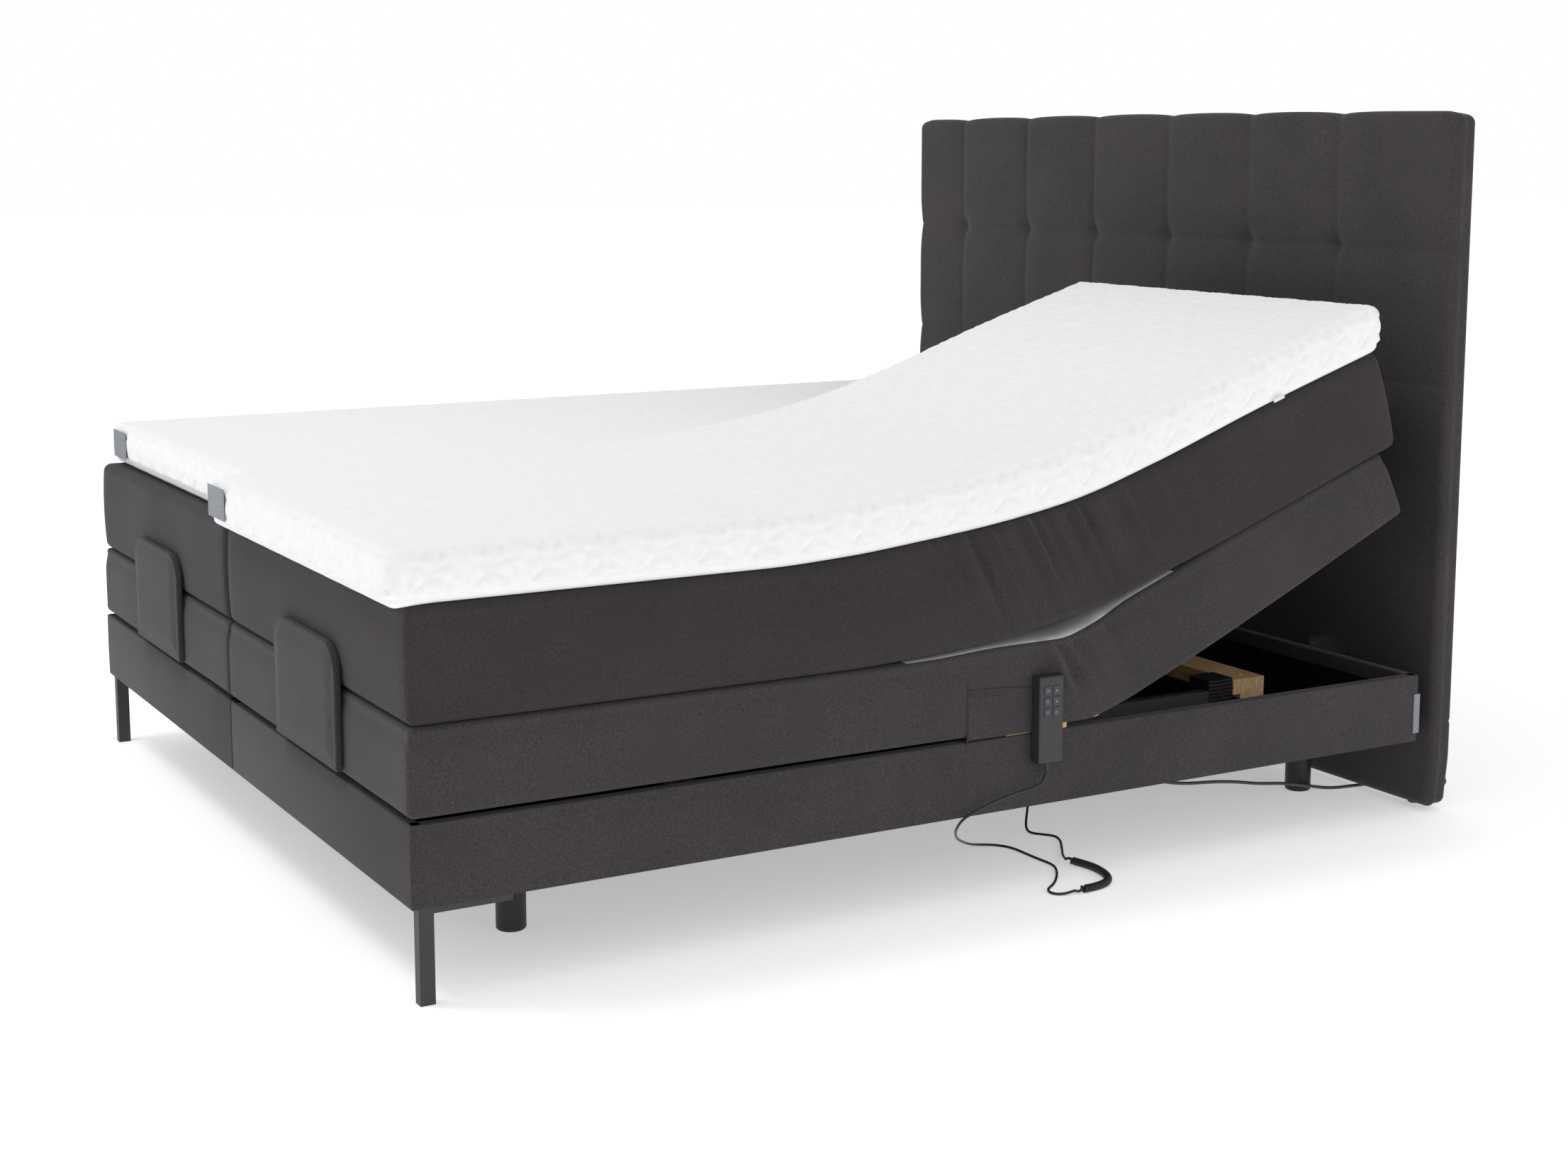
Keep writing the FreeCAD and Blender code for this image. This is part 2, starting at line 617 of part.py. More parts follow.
def headboard_glides(side):
    glides = []
    for inset in (80, INNER - 260):
        along = HEADBOARD_BACK - HEADBOARD_CORE / 2
        glides.append(post(side, inset, along, (0, HEADBOARD_LIFT), GLIDE_RADIUS))
    return glides


# --- handset ----------------------------------------------------------------------------
HANDSET_INSET = (-POCKET[2] - REST_GAP, -POCKET[2] - REST_GAP - HANDSET[2])
HANDSET_TOP = HANDSET_BOTTOM + HANDSET[1]
KEY_TOP_ROW = HANDSET_TOP - 25.0
RELIEF_LENGTH = 16.0
CORD_INSET = (HANDSET_INSET[0] + HANDSET_INSET[1]) / 2


def key_places():
    """(name, along, height) of the six keys."""
    columns = {"foot_side": -0.5, "head_side": 0.5}
    rows = {"upper": 0, "middle": 1, "lower": 2}
    for row, down in rows.items():
        for column, over in columns.items():
            along = HANDSET_ALONG + over * KEY_PITCH[0]
            yield "key_%s_%s" % (row, column), along, KEY_TOP_ROW - down * KEY_PITCH[1]


def key_block(along, z, grow, depth):
    """A key, or with grow above 0 the recess round it, in from the handset's face."""
    half_width = KEY[0] / 2 + grow
    half_height = KEY[1] / 2 + grow
    outer = HANDSET_INSET[1] - (0 if grow else 1.0)
    inner = HANDSET_INSET[1] + depth
    block = bar(
        RIGHT,
        (outer, inner),
        (along - half_width, along + half_width),
        (z - half_height, z + half_height),
    )
    corners = [e for e in block.Edges if e.BoundBox.XLength > 1]
    return block.makeFillet(2.5, corners)


def pocket():
    width, height, thick = POCKET
    alongs = (POCKET_ALONG, POCKET_ALONG + width)
    return bar(RIGHT, (-thick, 0), alongs, (POCKET_BOTTOM, POCKET_BOTTOM + height))


def handset():
    """The handset's shell, with key recesses, a hook over the pocket and a cord relief."""
    width, height, depth = HANDSET
    alongs = (HANDSET_ALONG - width / 2, HANDSET_ALONG + width / 2)
    body = bar(RIGHT, HANDSET_INSET, alongs, (HANDSET_BOTTOM, HANDSET_TOP))
    outer_edges = [e for e in body.Edges if e.BoundBox.XLength < 0.01]
    body = body.makeFillet(4, outer_edges)
    pocket_top = POCKET_BOTTOM + POCKET[1]
    hook = bar(
        RIGHT,
        (-0.6, HANDSET_INSET[0] - 4),
        (HANDSET_ALONG - 15, HANDSET_ALONG + 15),
        (pocket_top + REST_GAP, pocket_top + 5),
    )
    body = body.fuse(hook)
    for _, along, z in key_places():
        body = body.cut(key_block(along, z, 0.5, KEY[2] - 1.0 + KEY_TRAVEL + 0.4))
    base = point(RIGHT, CORD_INSET, HANDSET_ALONG, HANDSET_BOTTOM + 1)
    relief = Part.makeCone(4.5, 3.2, RELIEF_LENGTH + 1, base, FreeCAD.Vector(0, 0, -1))
    return body.fuse(relief)


# --- cords ------------------------------------------------------------------------------
# Each route is a list of (x, along, z) places; x is measured in the bed's frame.
HAND_GLAND = (570, 1350)
MAINS_GLAND = (675, 1490)
GLAND_BOTTOM = FLOOR_BOTTOM - 8
CORD_X = UNIT_WIDTH - CORD_INSET
HAND_ROUTE_FROM_BASE = [
    (570, 1350, GLAND_BOTTOM),
    (570, 1350, 136),
    (571, 1348, 96),
    (574, 1342, 58),
    (584, 1330, 26),
    (602, 1314, 6),
    (628, 1303, 2.45),
    (648, 1318, 2.45),
    (667, 1334, 2.45),
    (693, 1327, 2.45),
    (724, 1307, 2.45),
    (752, 1288, 3.0),
    (776, 1271, 5.0),
    (800, 1256, 7.05),
]
HAND_COIL_ROUTE = [
    (800, 1256, 7.05),
    (824, 1263, 7.05),
    (862, 1272, 7.05),
    (902, 1268, 7.05),
    (936, 1253, 7.05),
    (953, 1226, 7.05),
    (957, 1192, 7.05),
    (955, 1163, 7.05),
]
HAND_ROUTE_TO_HANDSET = [
    (955, 1163, 7.05),
    (953, 1142, 3.5),
    (936, 1128, 2.45),
    (914, 1137, 2.45),
    (900, 1160, 2.45),
    (876, 1184, 2.45),
    (846, 1208, 2.45),
    (810, 1228, 2.45),
    (770, 1224, 2.45),
    (724, 1223, 2.45),
    (686, 1222, 2.45),
    (660, 1204, 3.0),
    (664, 1172, 9),
    (694, 1128, 24),
    (734, 1084, 46),
    (778, 1045, 68),
    (822, 1010, 90),
    (862, 982, 112),
    (890, 966, 130),
    (908, 966, 150),
    (CORD_X, 992, 163),
    (CORD_X, 1028, 173),
    (CORD_X, 1066, 181),
    (CORD_X, 1104, 185),
    (CORD_X, 1126, 192),
    (CORD_X, HANDSET_ALONG, HANDSET_BOTTOM - RELIEF_LENGTH),
]
COIL_BEHIND = HEADBOARD_BACK + 62.0
MAINS_COIL_X = 738.0
MAINS_COIL_OUTER = MAINS_COIL_RADIUS + 1.5 * MAINS_CORD
PLUG_RADIUS = 9.0
MAINS_LOW = MAINS_CORD / 2 + 0.05
MAINS_ROUTE = [
    (675, 1490, GLAND_BOTTOM),
    (675, 1494, 135),
    (675, 1520, 98),
    (675, 1570, 74),
    (676, 1630, 62),
    (677, 1690, 58),
    (677, 1752, 50),
    (676, 1812, 37),
    (675, 1872, 30),
    (675, 1930, 18),
    (678, COIL_BEHIND - 166, MAINS_LOW),
    (686, COIL_BEHIND - 110, MAINS_LOW),
    (698, COIL_BEHIND - 54, MAINS_LOW),
    (MAINS_COIL_X - MAINS_COIL_RADIUS, COIL_BEHIND - 27, MAINS_LOW),
]


def place(x, along, z):
    return FreeCAD.Vector(x, FOOT_Y + along, z)


def tube(route, diameter, name):
    """A round cord along straight runs joined by tangent arcs, each arc as large as its two
    runs allow: 0.45 of the shorter run over the tangent of half the turn."""
    points = [place(*p) for p in route]
    edges = []
    start = points[0]
    radii = []
    length = 0.0
    for before, here, after in zip(points, points[1:], points[2:]):
        back = before - here
        ahead = after - here
        reach = 0.45 * min(back.Length, ahead.Length)
        into = FreeCAD.Vector(back).normalize()
        out = FreeCAD.Vector(ahead).normalize()
        turn = math.pi - into.getAngle(out)
        radius = reach / math.tan(turn / 2)
        first = here + into * reach
        last = here + out * reach
        bisector = (into + out).normalize()
        middle = here + bisector * (radius / math.cos(turn / 2) - radius)
        edges.append(Part.LineSegment(start, first).toShape())
        edges.append(Part.Arc(first, middle, last).toShape())
        length += (first - start).Length + radius * turn
        radii.append(radius)
        start = last
    edges.append(Part.LineSegment(start, points[-1]).toShape())
    length += (points[-1] - start).Length
    direction = points[1] - points[0]
    circle = Part.Circle(points[0], direction, diameter / 2).toShape()
    path = Part.Wire(edges)
    shape = path.makePipeShell([Part.Wire([circle])], True, False)
    ideal = math.pi * diameter ** 2 / 4 * length
    print("%s: %.0f mm long, volume %.4f of its section times length, radii %s" % (
        name, length, shape.Volume / ideal, [round(r) for r in radii]))
    return shape


def coil_ring():
    """The put-away mains lead: a flat ring of turns on the floor behind the headboard."""
    base = place(MAINS_COIL_X, COIL_BEHIND, 0)
    outer = Part.makeCylinder(MAINS_COIL_OUTER, 3 * MAINS_CORD, base)
    inner = Part.makeCylinder(MAINS_COIL_RADIUS - 1.5 * MAINS_CORD, 3 * MAINS_CORD, base)
    return outer.cut(inner)


def mains_plug():
    """A plain two-pin plug, lying beside the ring of turns."""
    x = MAINS_COIL_X + MAINS_COIL_OUTER + PLUG_RADIUS
    along_y = FreeCAD.Vector(0, 1, 0)
    start = place(x, COIL_BEHIND - 15, PLUG_RADIUS)
    body = Part.makeCylinder(PLUG_RADIUS, 34, start, along_y)
    for offset in (-6, 6):
        pin = Part.makeCylinder(2, 18, place(x + offset, COIL_BEHIND - 33, PLUG_RADIUS), along_y)
        body = body.fuse(pin)
    return body


def grommet(gland):
    """A rubber grommet under the floor board, which a cord leaves downwards."""
    x, along = gland
    return Part.makeCylinder(9, FLOOR_BOTTOM - GLAND_BOTTOM, place(x, along, GLAND_BOTTOM))


# --- writing the sub-parts --------------------------------------------------------------
pivot_bolts = []
for side in SIDES.values():
    for along in (BACK_PIVOT_ALONG, THIGH_PIVOT_ALONG):
        pivot_bolts += both_sides(lambda insets: bolt(side, insets, along), BOLT_INSETS)

save("base_boards", *[base_boards(side) for side in SIDES.values()])
save("base_covers", *[base_cover(side) for side in SIDES.values()])
save("base_floors", *[base_floor(side) for side in SIDES.values()])
save("corner_legs", *[corner_leg(side) for side in SIDES.values()])
save("support_legs", *[support_legs(side) + headboard_glides(side) for side in SIDES.values()])
save("frame_rails", *[carrier(side) for side in SIDES.values()])
save("beech_crossbars", *[beams(side) for side in SIDES.values()])
grommets = [grommet(HAND_GLAND), grommet(MAINS_GLAND)]
save("rubber_fittings", *[rubber_blocks(side) for side in SIDES.values()], grommets)
save("motors", *[motor(side) for side in SIDES.values()])
save("seat_frames", *[seat_frame(side) for side in SIDES.values()])
save("bolts_and_screws", pivot_bolts, *[screws(side) for side in SIDES.values()])
save("seat_pads", *[seat_pad(side) for side in SIDES.values()])
save("seat_mattresses", *[seat_mattress(side) for side in SIDES.values()])
save("seat_toppers", *[seat_topper(side) for side in SIDES.values()])
save("headboard_cushion", headboard_slab((HEADBOARD_ALONG, HEADBOARD_BACK - HEADBOARD_CORE)))
save("headboard_core", headboard_slab((HEADBOARD_BACK - HEADBOARD_CORE, HEADBOARD_BACK)))
save("headboard_brackets", *[headboard_brackets(side) for side in SIDES.values()])

for name, side in SIDES.items():
    raised = TILT[side]
    save("back_frame_" + name, [turned(piece, *BACK_PIVOT, raised) for piece in back_frame(side)])
    save("back_pad_" + name, back_pad(side))
    save("back_mattress_" + name, back_mattress(side))
    save("back_topper_" + name, back_topper(side))
    save("thigh_frame_" + name, thigh_frame(side))
    save("thigh_pad_" + name, thigh_layer(side, THIGH_PAD, PAD_HEIGHTS))
    save("thigh_mattress_" + name, thigh_layer(side, THIGH_MATTRESS, MATTRESS_HEIGHTS))
    save("thigh_topper_" + name, thigh_layer(side, THIGH_TOPPER, TOPPER_HEIGHTS))
    save("calf_frame_" + name, calf_frame(side))
    save("calf_pad_" + name, calf_layer(side, 0, PAD_HEIGHTS))
    save("calf_mattress_" + name, calf_layer(side, 0, MATTRESS_HEIGHTS))
    save("calf_topper_" + name, calf_layer(side, -OVERHANG[side], TOPPER_HEIGHTS))
    save("retainer_" + name, retainer(side))
    lift_angle = LAYER_RATIO * raised
    save("back_lift_" + name, lift(side, BACK_PIVOT_ALONG, BACK_ARM, 1, lift_angle))
    save("leg_lift_" + name, lift(side, THIGH_PIVOT_ALONG, LEG_ARM, -1, 0))

save("handset_pocket", pocket())
save("handset_body", handset())
for key_name, along, z in key_places():
    save(key_name, key_block(along, z, 0, KEY[2] - 1.0))
hand_cords = [
    tube(HAND_ROUTE_FROM_BASE, HAND_CORD, "cord from the base"),
    tube(HAND_ROUTE_TO_HANDSET, HAND_CORD, "cord to the handset"),
]
save("handset_cord", hand_cords)
save("handset_coil", tube(HAND_COIL_ROUTE, HAND_COIL, "curly cord"))
save("mains_cord", tube(MAINS_ROUTE, MAINS_CORD, "mains cord"))
save("mains_coil", coil_ring())
save("mains_plug", mains_plug())
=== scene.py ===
import math
import bmesh
import bpy
import numpy as np
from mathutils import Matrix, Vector


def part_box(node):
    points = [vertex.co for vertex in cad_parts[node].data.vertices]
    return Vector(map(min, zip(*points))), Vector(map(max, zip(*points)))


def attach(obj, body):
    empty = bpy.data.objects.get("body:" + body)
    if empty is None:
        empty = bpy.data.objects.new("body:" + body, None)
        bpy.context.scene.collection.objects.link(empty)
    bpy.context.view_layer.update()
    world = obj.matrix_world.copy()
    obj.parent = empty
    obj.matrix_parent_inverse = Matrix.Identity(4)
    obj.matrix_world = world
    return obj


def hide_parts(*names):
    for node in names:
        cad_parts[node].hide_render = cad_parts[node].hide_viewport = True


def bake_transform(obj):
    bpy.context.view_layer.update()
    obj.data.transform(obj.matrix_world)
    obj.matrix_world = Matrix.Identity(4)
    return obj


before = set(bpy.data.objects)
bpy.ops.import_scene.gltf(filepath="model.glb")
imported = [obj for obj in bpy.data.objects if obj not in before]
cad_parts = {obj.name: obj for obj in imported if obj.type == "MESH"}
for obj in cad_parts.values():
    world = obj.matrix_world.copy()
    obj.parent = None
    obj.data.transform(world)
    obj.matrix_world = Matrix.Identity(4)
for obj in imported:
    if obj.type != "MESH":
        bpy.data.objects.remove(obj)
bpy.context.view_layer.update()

# An adjustable double bed: two single units, the right one with its back raised, on fabric
# bases, in front of a column-tufted headboard. Sizes are in millimetres here and become metres
# in the mesh; "along" is the distance from the foot face towards the head, and z is height.

MM = 0.001


def node_box(name):
    """The low and high corners of one of the frame's nodes, in millimetres."""
    return [[c / MM for c in corner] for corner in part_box(name)]


BASE_LOW, BASE_HIGH = node_box("base_covers")
FOOT_Y = BASE_LOW[1]
HALF_WIDTH = BASE_HIGH[0]
BED_LENGTH = BASE_HIGH[1] - BASE_LOW[1]
BASE_BOTTOM, BASE_TOP = BASE_LOW[2], BASE_HIGH[2]
UNIT_FACE = node_box("calf_pad_right")[0][0]          # a unit's side at the bed's middle
COVER_BELOW_FRAME = 4                                 # how far the box's cloth hangs below its rails
BOX_BOTTOM = node_box("calf_frame_left")[0][2] - COVER_BELOW_FRAME
BOX_TOP = node_box("calf_pad_left")[1][2]
CORE_LOW, CORE_HIGH = node_box("headboard_core")
HEAD_FRONT = node_box("headboard_cushion")[0][1] - FOOT_Y
HEAD_BACK = CORE_HIGH[1] - FOOT_Y
HEAD_LOW, HEAD_TOP = CORE_LOW[2], CORE_HIGH[2]
SIDES = {"right": 1, "left": -1}
SCENE = bpy.context.scene


def place(x, along, z):
    """A point of the bed's frame, in metres, from millimetres with y measured along the bed."""
    return (x * MM, (FOOT_Y + along) * MM, z * MM)


# --- camera ----------------------------------------------------------------------------------
CAMERA_AT = (4028.0, -1154.0, 1258.2)       # x, along, z
CAMERA_TURN = 60.337                        # degrees, anticlockwise from the bed's long axis
CAMERA_DIP = 8.457                          # degrees below level
CAMERA_LENS = 53.52
CAMERA_SHIFT = -0.0608


def add_camera():
    """A full-frame camera, level but for its dip."""
    data = bpy.data.cameras.new("camera")
    data.lens = CAMERA_LENS
    data.sensor_width = 36.0
    data.shift_y = CAMERA_SHIFT
    data.clip_end = 60
    camera = bpy.data.objects.new("camera", data)
    camera.location = place(*CAMERA_AT)
    camera.rotation_euler = (math.radians(90 - CAMERA_DIP), 0, math.radians(CAMERA_TURN))
    SCENE.collection.objects.link(camera)
    SCENE.camera = camera


add_camera()


# --- colours and material nodes --------------------------------------------------------------
def linear(hexadecimal):
    """An sRGB colour such as "8a8f92" as a linear RGBA value."""
    channels = [int(hexadecimal[i:i + 2], 16) / 255 for i in (0, 2, 4)]
    turned = [c / 12.92 if c <= 0.04045 else ((c + 0.055) / 1.055) ** 2.4 for c in channels]
    return (*turned, 1.0)


def new_material(name, roughness=0.5, colour=None, **settings):
    """A material with one Principled shader; settings are socket names with _ for a space."""
    material = bpy.data.materials.new(name)
    material.use_nodes = True
    shader = material.node_tree.nodes["Principled BSDF"]
    shader.inputs["Roughness"].default_value = roughness
    if colour:
        shader.inputs["Base Color"].default_value = linear(colour)
        material.diffuse_color = linear(colour)
    for key, value in settings.items():
        shader.inputs[key.replace("_", " ")].default_value = value
    return material


def add(material, kind, links=None, values=None, **attributes):
    """Adds a node: attributes are set on it, values on its sockets, links join other outputs."""
    node = material.node_tree.nodes.new(kind)
    for key, value in attributes.items():
        setattr(node, key, value)
    for key, value in (values or {}).items():
        node.inputs[key].default_value = value
    for key, output in (links or {}).items():
        material.node_tree.links.new(output, node.inputs[key])
    return node


def shader_of(material):
    """A material's Principled shader."""
    return material.node_tree.nodes["Principled BSDF"]


def join(material, output, socket):
    """Links an output to a socket of the material's shader."""
    material.node_tree.links.new(output, shader_of(material).inputs[socket])


def coordinates(material, scale=(1, 1, 1)):
    """Object coordinates in metres, scaled along each axis."""
    source = add(material, "ShaderNodeTexCoord").outputs["Object"]
    return add(material, "ShaderNodeMapping", {"Vector": source}, {"Scale": scale}).outputs[0]


def ramp(material, factor, stops):
    """A colour ramp from (position, hex colour) stops."""
    node = add(material, "ShaderNodeValToRGB", {"Fac": factor})
    elements = node.color_ramp.elements
    while len(elements) < len(stops):
        elements.new(0.5)
    for element, (position, colour) in zip(elements, stops):
        element.position = position
        element.color = linear(colour)
    return node.outputs["Color"]


def bump(material, height, distance, strength=1.0, below=None):
    """A bump of the given real height in metres, over another one if below is given."""
    links = {"Height": height}
    if below:
        links["Normal"] = below
    values = {"Distance": distance, "Strength": strength}
    return add(material, "ShaderNodeBump", links, values).outputs["Normal"]


def woven_fabric(name, dark, middle, light, thread, sheen):
    """Melange upholstery cloth: flat woven polyester in three yarn shades. thread is the yarn
    spacing in millimetres, drawn two to three times too coarse so that it shows at all."""
    material = new_material(name, 0.9, middle, Sheen_Weight=sheen, Sheen_Roughness=0.45)
    shader_of(material).inputs["Specular IOR Level"].default_value = 0.2
    per_metre = 1 / (thread * MM)
    at = coordinates(material)
    fleck = add(material, "ShaderNodeTexNoise", {"Vector": at}, {"Scale": per_metre * 0.8, "Detail": 2.0})
    cloud = add(material, "ShaderNodeTexNoise", {"Vector": at}, {"Scale": 5.0, "Detail": 2.0})
    yarn = ramp(material, fleck.outputs[0], [(0.34, dark), (0.50, middle), (0.68, light)])
    shade = ramp(material, cloud.outputs[0], [(0.35, "eeeeee"), (0.65, "ffffff")])
    mixed = add(
        material, "ShaderNodeMix", {6: yarn, 7: shade}, {0: 1.0}, data_type="RGBA", blend_type="MULTIPLY"
    )
    join(material, mixed.outputs[2], "Base Color")
    weave = add(
        material, "ShaderNodeTexVoronoi", {"Vector": at}, {"Scale": per_metre, "Randomness": 0.35}
    )
    normal = bump(material, weave.outputs["Distance"], thread * 0.15 * MM, 0.35)
    normal = bump(material, fleck.outputs[0], thread * 0.15 * MM, 0.3, normal)
    join(material, normal, "Normal")
    return material


def moulded_plastic(name, colour, grain, roughness):
    """Injection-moulded ABS or nylon with a fine spark-eroded grain, given in millimetres."""
    material = new_material(name, roughness, colour)
    at = coordinates(material)
    noise = add(material, "ShaderNodeTexNoise", {"Vector": at}, {"Scale": 1 / (grain * MM), "Detail": 2.0})
    join(material, bump(material, noise.outputs[0], grain * 0.12 * MM, 0.5), "Normal")
    spread = add(
        material, "ShaderNodeMapRange", {"Value": noise.outputs[0]},
        {"To Min": roughness - 0.06, "To Max": roughness + 0.08},
    )
    join(material, spread.outputs[0], "Roughness")
    return material


def sawn_wood(name, dark, light, across, roughness):
    """Planed wood with its grain along one axis: growth rings across it, fine pores along it."""
    material = new_material(name, roughness, light)
    at = coordinates(material, across)
    rings = add(
        material, "ShaderNodeTexNoise", {"Vector": at}, {"Scale": 14.0, "Detail": 4.0, "Distortion": 0.6}
    )
    join(material, ramp(material, rings.outputs[0], [(0.32, dark), (0.68, light)]), "Base Color")
    pores = add(material, "ShaderNodeTexNoise", {"Vector": at}, {"Scale": 160.0, "Detail": 2.0})
    join(material, bump(material, pores.outputs[0], 0.0003, 0.5), "Normal")
    return material


def brushed_metal(name, colour, roughness, across):
    """Zinc-plated or chromed steel with faint drawing marks."""
    material = new_material(name, roughness, colour, Metallic=1.0)
    at = coordinates(material, across)
    marks = add(material, "ShaderNodeTexNoise", {"Vector": at}, {"Scale": 220.0, "Detail": 2.0})
    spread = add(
        material, "ShaderNodeMapRange", {"Value": marks.outputs[0]},
        {"To Min": max(roughness - 0.05, 0.03), "To Max": roughness + 0.12},
    )
    join(material, spread.outputs[0], "Roughness")
    return material


def knitted_topper():
    """White circular-knit jersey over wadding: fine loops about 1.2 mm apart, drawn at 2.4 mm."""
    material = new_material("white_knit_jersey", 0.9, "f0f1f2", Sheen_Weight=0.05)
    shader_of(material).inputs["Subsurface Weight"].default_value = 0.05
    shader_of(material).inputs["Subsurface Radius"].default_value = (0.004, 0.004, 0.004)
    at = coordinates(material)
    loops = add(material, "ShaderNodeTexVoronoi", {"Vector": at}, {"Scale": 1 / 0.0024, "Randomness": 0.5})
    soft = add(material, "ShaderNodeTexNoise", {"Vector": at}, {"Scale": 60.0, "Detail": 3.0})
    normal = bump(material, loops.outputs["Distance"], 0.0005, 0.35)
    normal = bump(material, soft.outputs[0], 0.0008, 0.25, normal)
    join(material, normal, "Normal")
    join(material, ramp(material, soft.outputs[0], [(0.3, "f0f1f2"), (0.7, "f5f6f7")]), "Base Color")
    return material


def ribbed_rubber():
    """Moulded black rubber with a square grid of grooves 7 mm apart."""
    material = new_material("ribbed_rubber", 0.62, "17181a")
    at = coordinates(material)
    normal = None
    for direction in ("X", "Y", "Z"):
        wave = add(
            material, "ShaderNodeTexWave", {"Vector": at}, {"Scale": 45.0, "Distortion": 0.0},
            bands_direction=direction, wave_profile="SIN",
        )
        normal = bump(material, wave.outputs["Fac"], 0.0012, 0.7, normal)
    join(material, normal, "Normal")
    return material


BASE_FABRIC = woven_fabric("woven_base_fabric", "353134", "3f3b3f", "4a464b", 1.7, 0.10)
MATTRESS_FABRIC = woven_fabric("woven_mattress_fabric", "302c2e", "393536", "433e40", 1.6, 0.08)
LINING = woven_fabric("spunbond_lining", "0c0c0d", "131314", "1b1b1c", 1.6, 0.0)
TOPPER_KNIT = knitted_topper()
WHITE_TICKING = woven_fabric("white_ticking", "dfe2df", "eceeeb", "f6f7f5", 2.4, 0.1)
LABEL_WEAVE = woven_fabric("grey_woven_label", "707378", "8b8f94", "a3a7ab", 1.6, 0.1)
BLACK_NYLON = moulded_plastic("black_nylon", "161718", 0.9, 0.45)
HANDSET_ABS = moulded_plastic("handset_abs", "2a2c2e", 0.7, 0.42)
KEY_RUBBER = moulded_plastic("key_silicone", "3b3e41", 0.6, 0.55)
CORD_PVC = moulded_plastic("cord_pvc", "1a1b1c", 1.2, 0.36)
MAINS_PVC = moulded_plastic("mains_cord_pvc", "4b4d4e", 1.2, 0.4)
MOTOR_ABS = moulded_plastic("motor_housing_abs", "17181a", 1.1, 0.5)
BEECH = sawn_wood("planed_beech", "cfa679", "ecd0a6", (1.0, 9.0, 9.0), 0.5)
PINE = sawn_wood("sawn_pine", "b9986a", "dfc49a", (9.0, 1.0, 9.0), 0.62)
FLOOR_BOARD = sawn_wood("dark_hardboard", "0f0f10", "1a1a1b", (6.0, 6.0, 6.0), 0.28)
LEG_PAINT = moulded_plastic("powder_coat", "2b2d30", 0.8, 0.5)
ZIP_NYLON = moulded_plastic("zip_pull_nylon", "e6e7e8", 0.8, 0.4)
PRINT_INK = new_material("screen_print_ink", 0.6, "73767a")
ZINC = brushed_metal("zinc_plate", "a7aaad", 0.32, (1.0, 8.0, 8.0))
CHROME = brushed_metal("chrome_plate", "e4e6e8", 0.2, (6.0, 1.0, 6.0))
RUBBER = ribbed_rubber()


# --- mesh helpers ----------------------------------------------------------------------------
def mesh_object(name, points, faces, material, sharp=50.0, fill=False):
    """An object from points in metres and faces; doubles are merged, open ends closed when fill
    is set, and edges sharper than the given angle stay crisp."""
    mesh = bpy.data.meshes.new(name)
    mesh.from_pydata(np.asarray(points).tolist(), [], np.asarray(faces).tolist())
    form = bmesh.new()
    form.from_mesh(mesh)
    bmesh.ops.remove_doubles(form, verts=form.verts, dist=0.00002)
    loose = [v for v in form.verts if not v.link_faces]
    bmesh.ops.delete(form, geom=loose, context="VERTS")
    if fill:
        rims = [e for e in form.edges if e.is_boundary]
        bmesh.ops.holes_fill(form, edges=rims, sides=0)
        bmesh.ops.recalc_face_normals(form, faces=form.faces)
    form.to_mesh(mesh)
    form.free()
    mesh.shade_smooth()
    mesh.set_sharp_from_angle(angle=math.radians(sharp))
    mesh.materials.append(material)
    piece = bpy.data.objects.new(name, mesh)
    SCENE.collection.objects.link(piece)
    return piece


def joined(corners):
    """Four-sided faces from the index arrays of their first, second, third and fourth corners."""
    return np.stack(corners, axis=-1).reshape(-1, 4)


def grid_faces(index):
    """The faces of an open grid of points."""
    return joined([index[:-1, :-1], index[1:, :-1], index[1:, 1:], index[:-1, 1:]])


def turn_faces_out(piece):
    """Gives all faces of a closed piece the winding that faces outwards."""
    form = bmesh.new()
    form.from_mesh(piece.data)
    bmesh.ops.recalc_face_normals(form, faces=form.faces)
    form.to_mesh(piece.data)
    form.free()


def edge_spaced(low, high, radius, step):
    """Places from low to high: close together on the rounded edges, step apart between them."""
    turn = radius * np.tan(np.radians([45, 34, 23, 11.5, 0]))
    middle = max(int(round((high - low - 2 * radius) / step)), 1)
    inside = np.linspace(low + radius, high - radius, middle + 1)
    return np.concatenate([low + radius - turn[:-1], inside, (high - radius + turn[:-1])[::-1]])


def rounded_block(spans, radius, steps, extra=None):
    """Points, outward directions and faces of a box with rounded edges. Each side is a grid; a
    point p is clamped to the box shrunk by the radius, giving q, and moves to q + radius times
    the direction from q to p. extra adds places to one axis."""
    places = [edge_spaced(low, high, radius, step) for (low, high), step in zip(spans, steps)]
    if extra is not None:
        places[extra[0]] = np.unique(np.concatenate([places[extra[0]], extra[1]]))
    low = np.array([s[0] for s in spans]) + radius
    high = np.array([s[1] for s in spans]) - radius
    points, faces, start = [], [], 0
    for axis in range(3):
        u_axis, v_axis = (axis + 1) % 3, (axis + 2) % 3
        u, v = np.meshgrid(places[u_axis], places[v_axis], indexing="ij")
        quads = grid_faces(np.arange(u.size).reshape(u.shape))
        for end in (0, 1):
            side = np.zeros((u.size, 3))
            side[:, axis] = spans[axis][end]
            side[:, u_axis] = u.ravel()
            side[:, v_axis] = v.ravel()
            points.append(side)
            faces.append((quads if end else quads[:, ::-1]) + start)
            start += u.size
    points = np.concatenate(points)
    inner = np.clip(points, low, high)
    out = points - inner
    out /= np.linalg.norm(out, axis=1, keepdims=True)
    return inner + radius * out, out, np.concatenate(faces)


def smooth_step(value, low, high):
    """0 below low, 1 above high, and 3t^2 - 2t^3 between."""
    t = np.clip((value - low) / (high - low), 0, 1)
    return t * t * (3 - 2 * t)


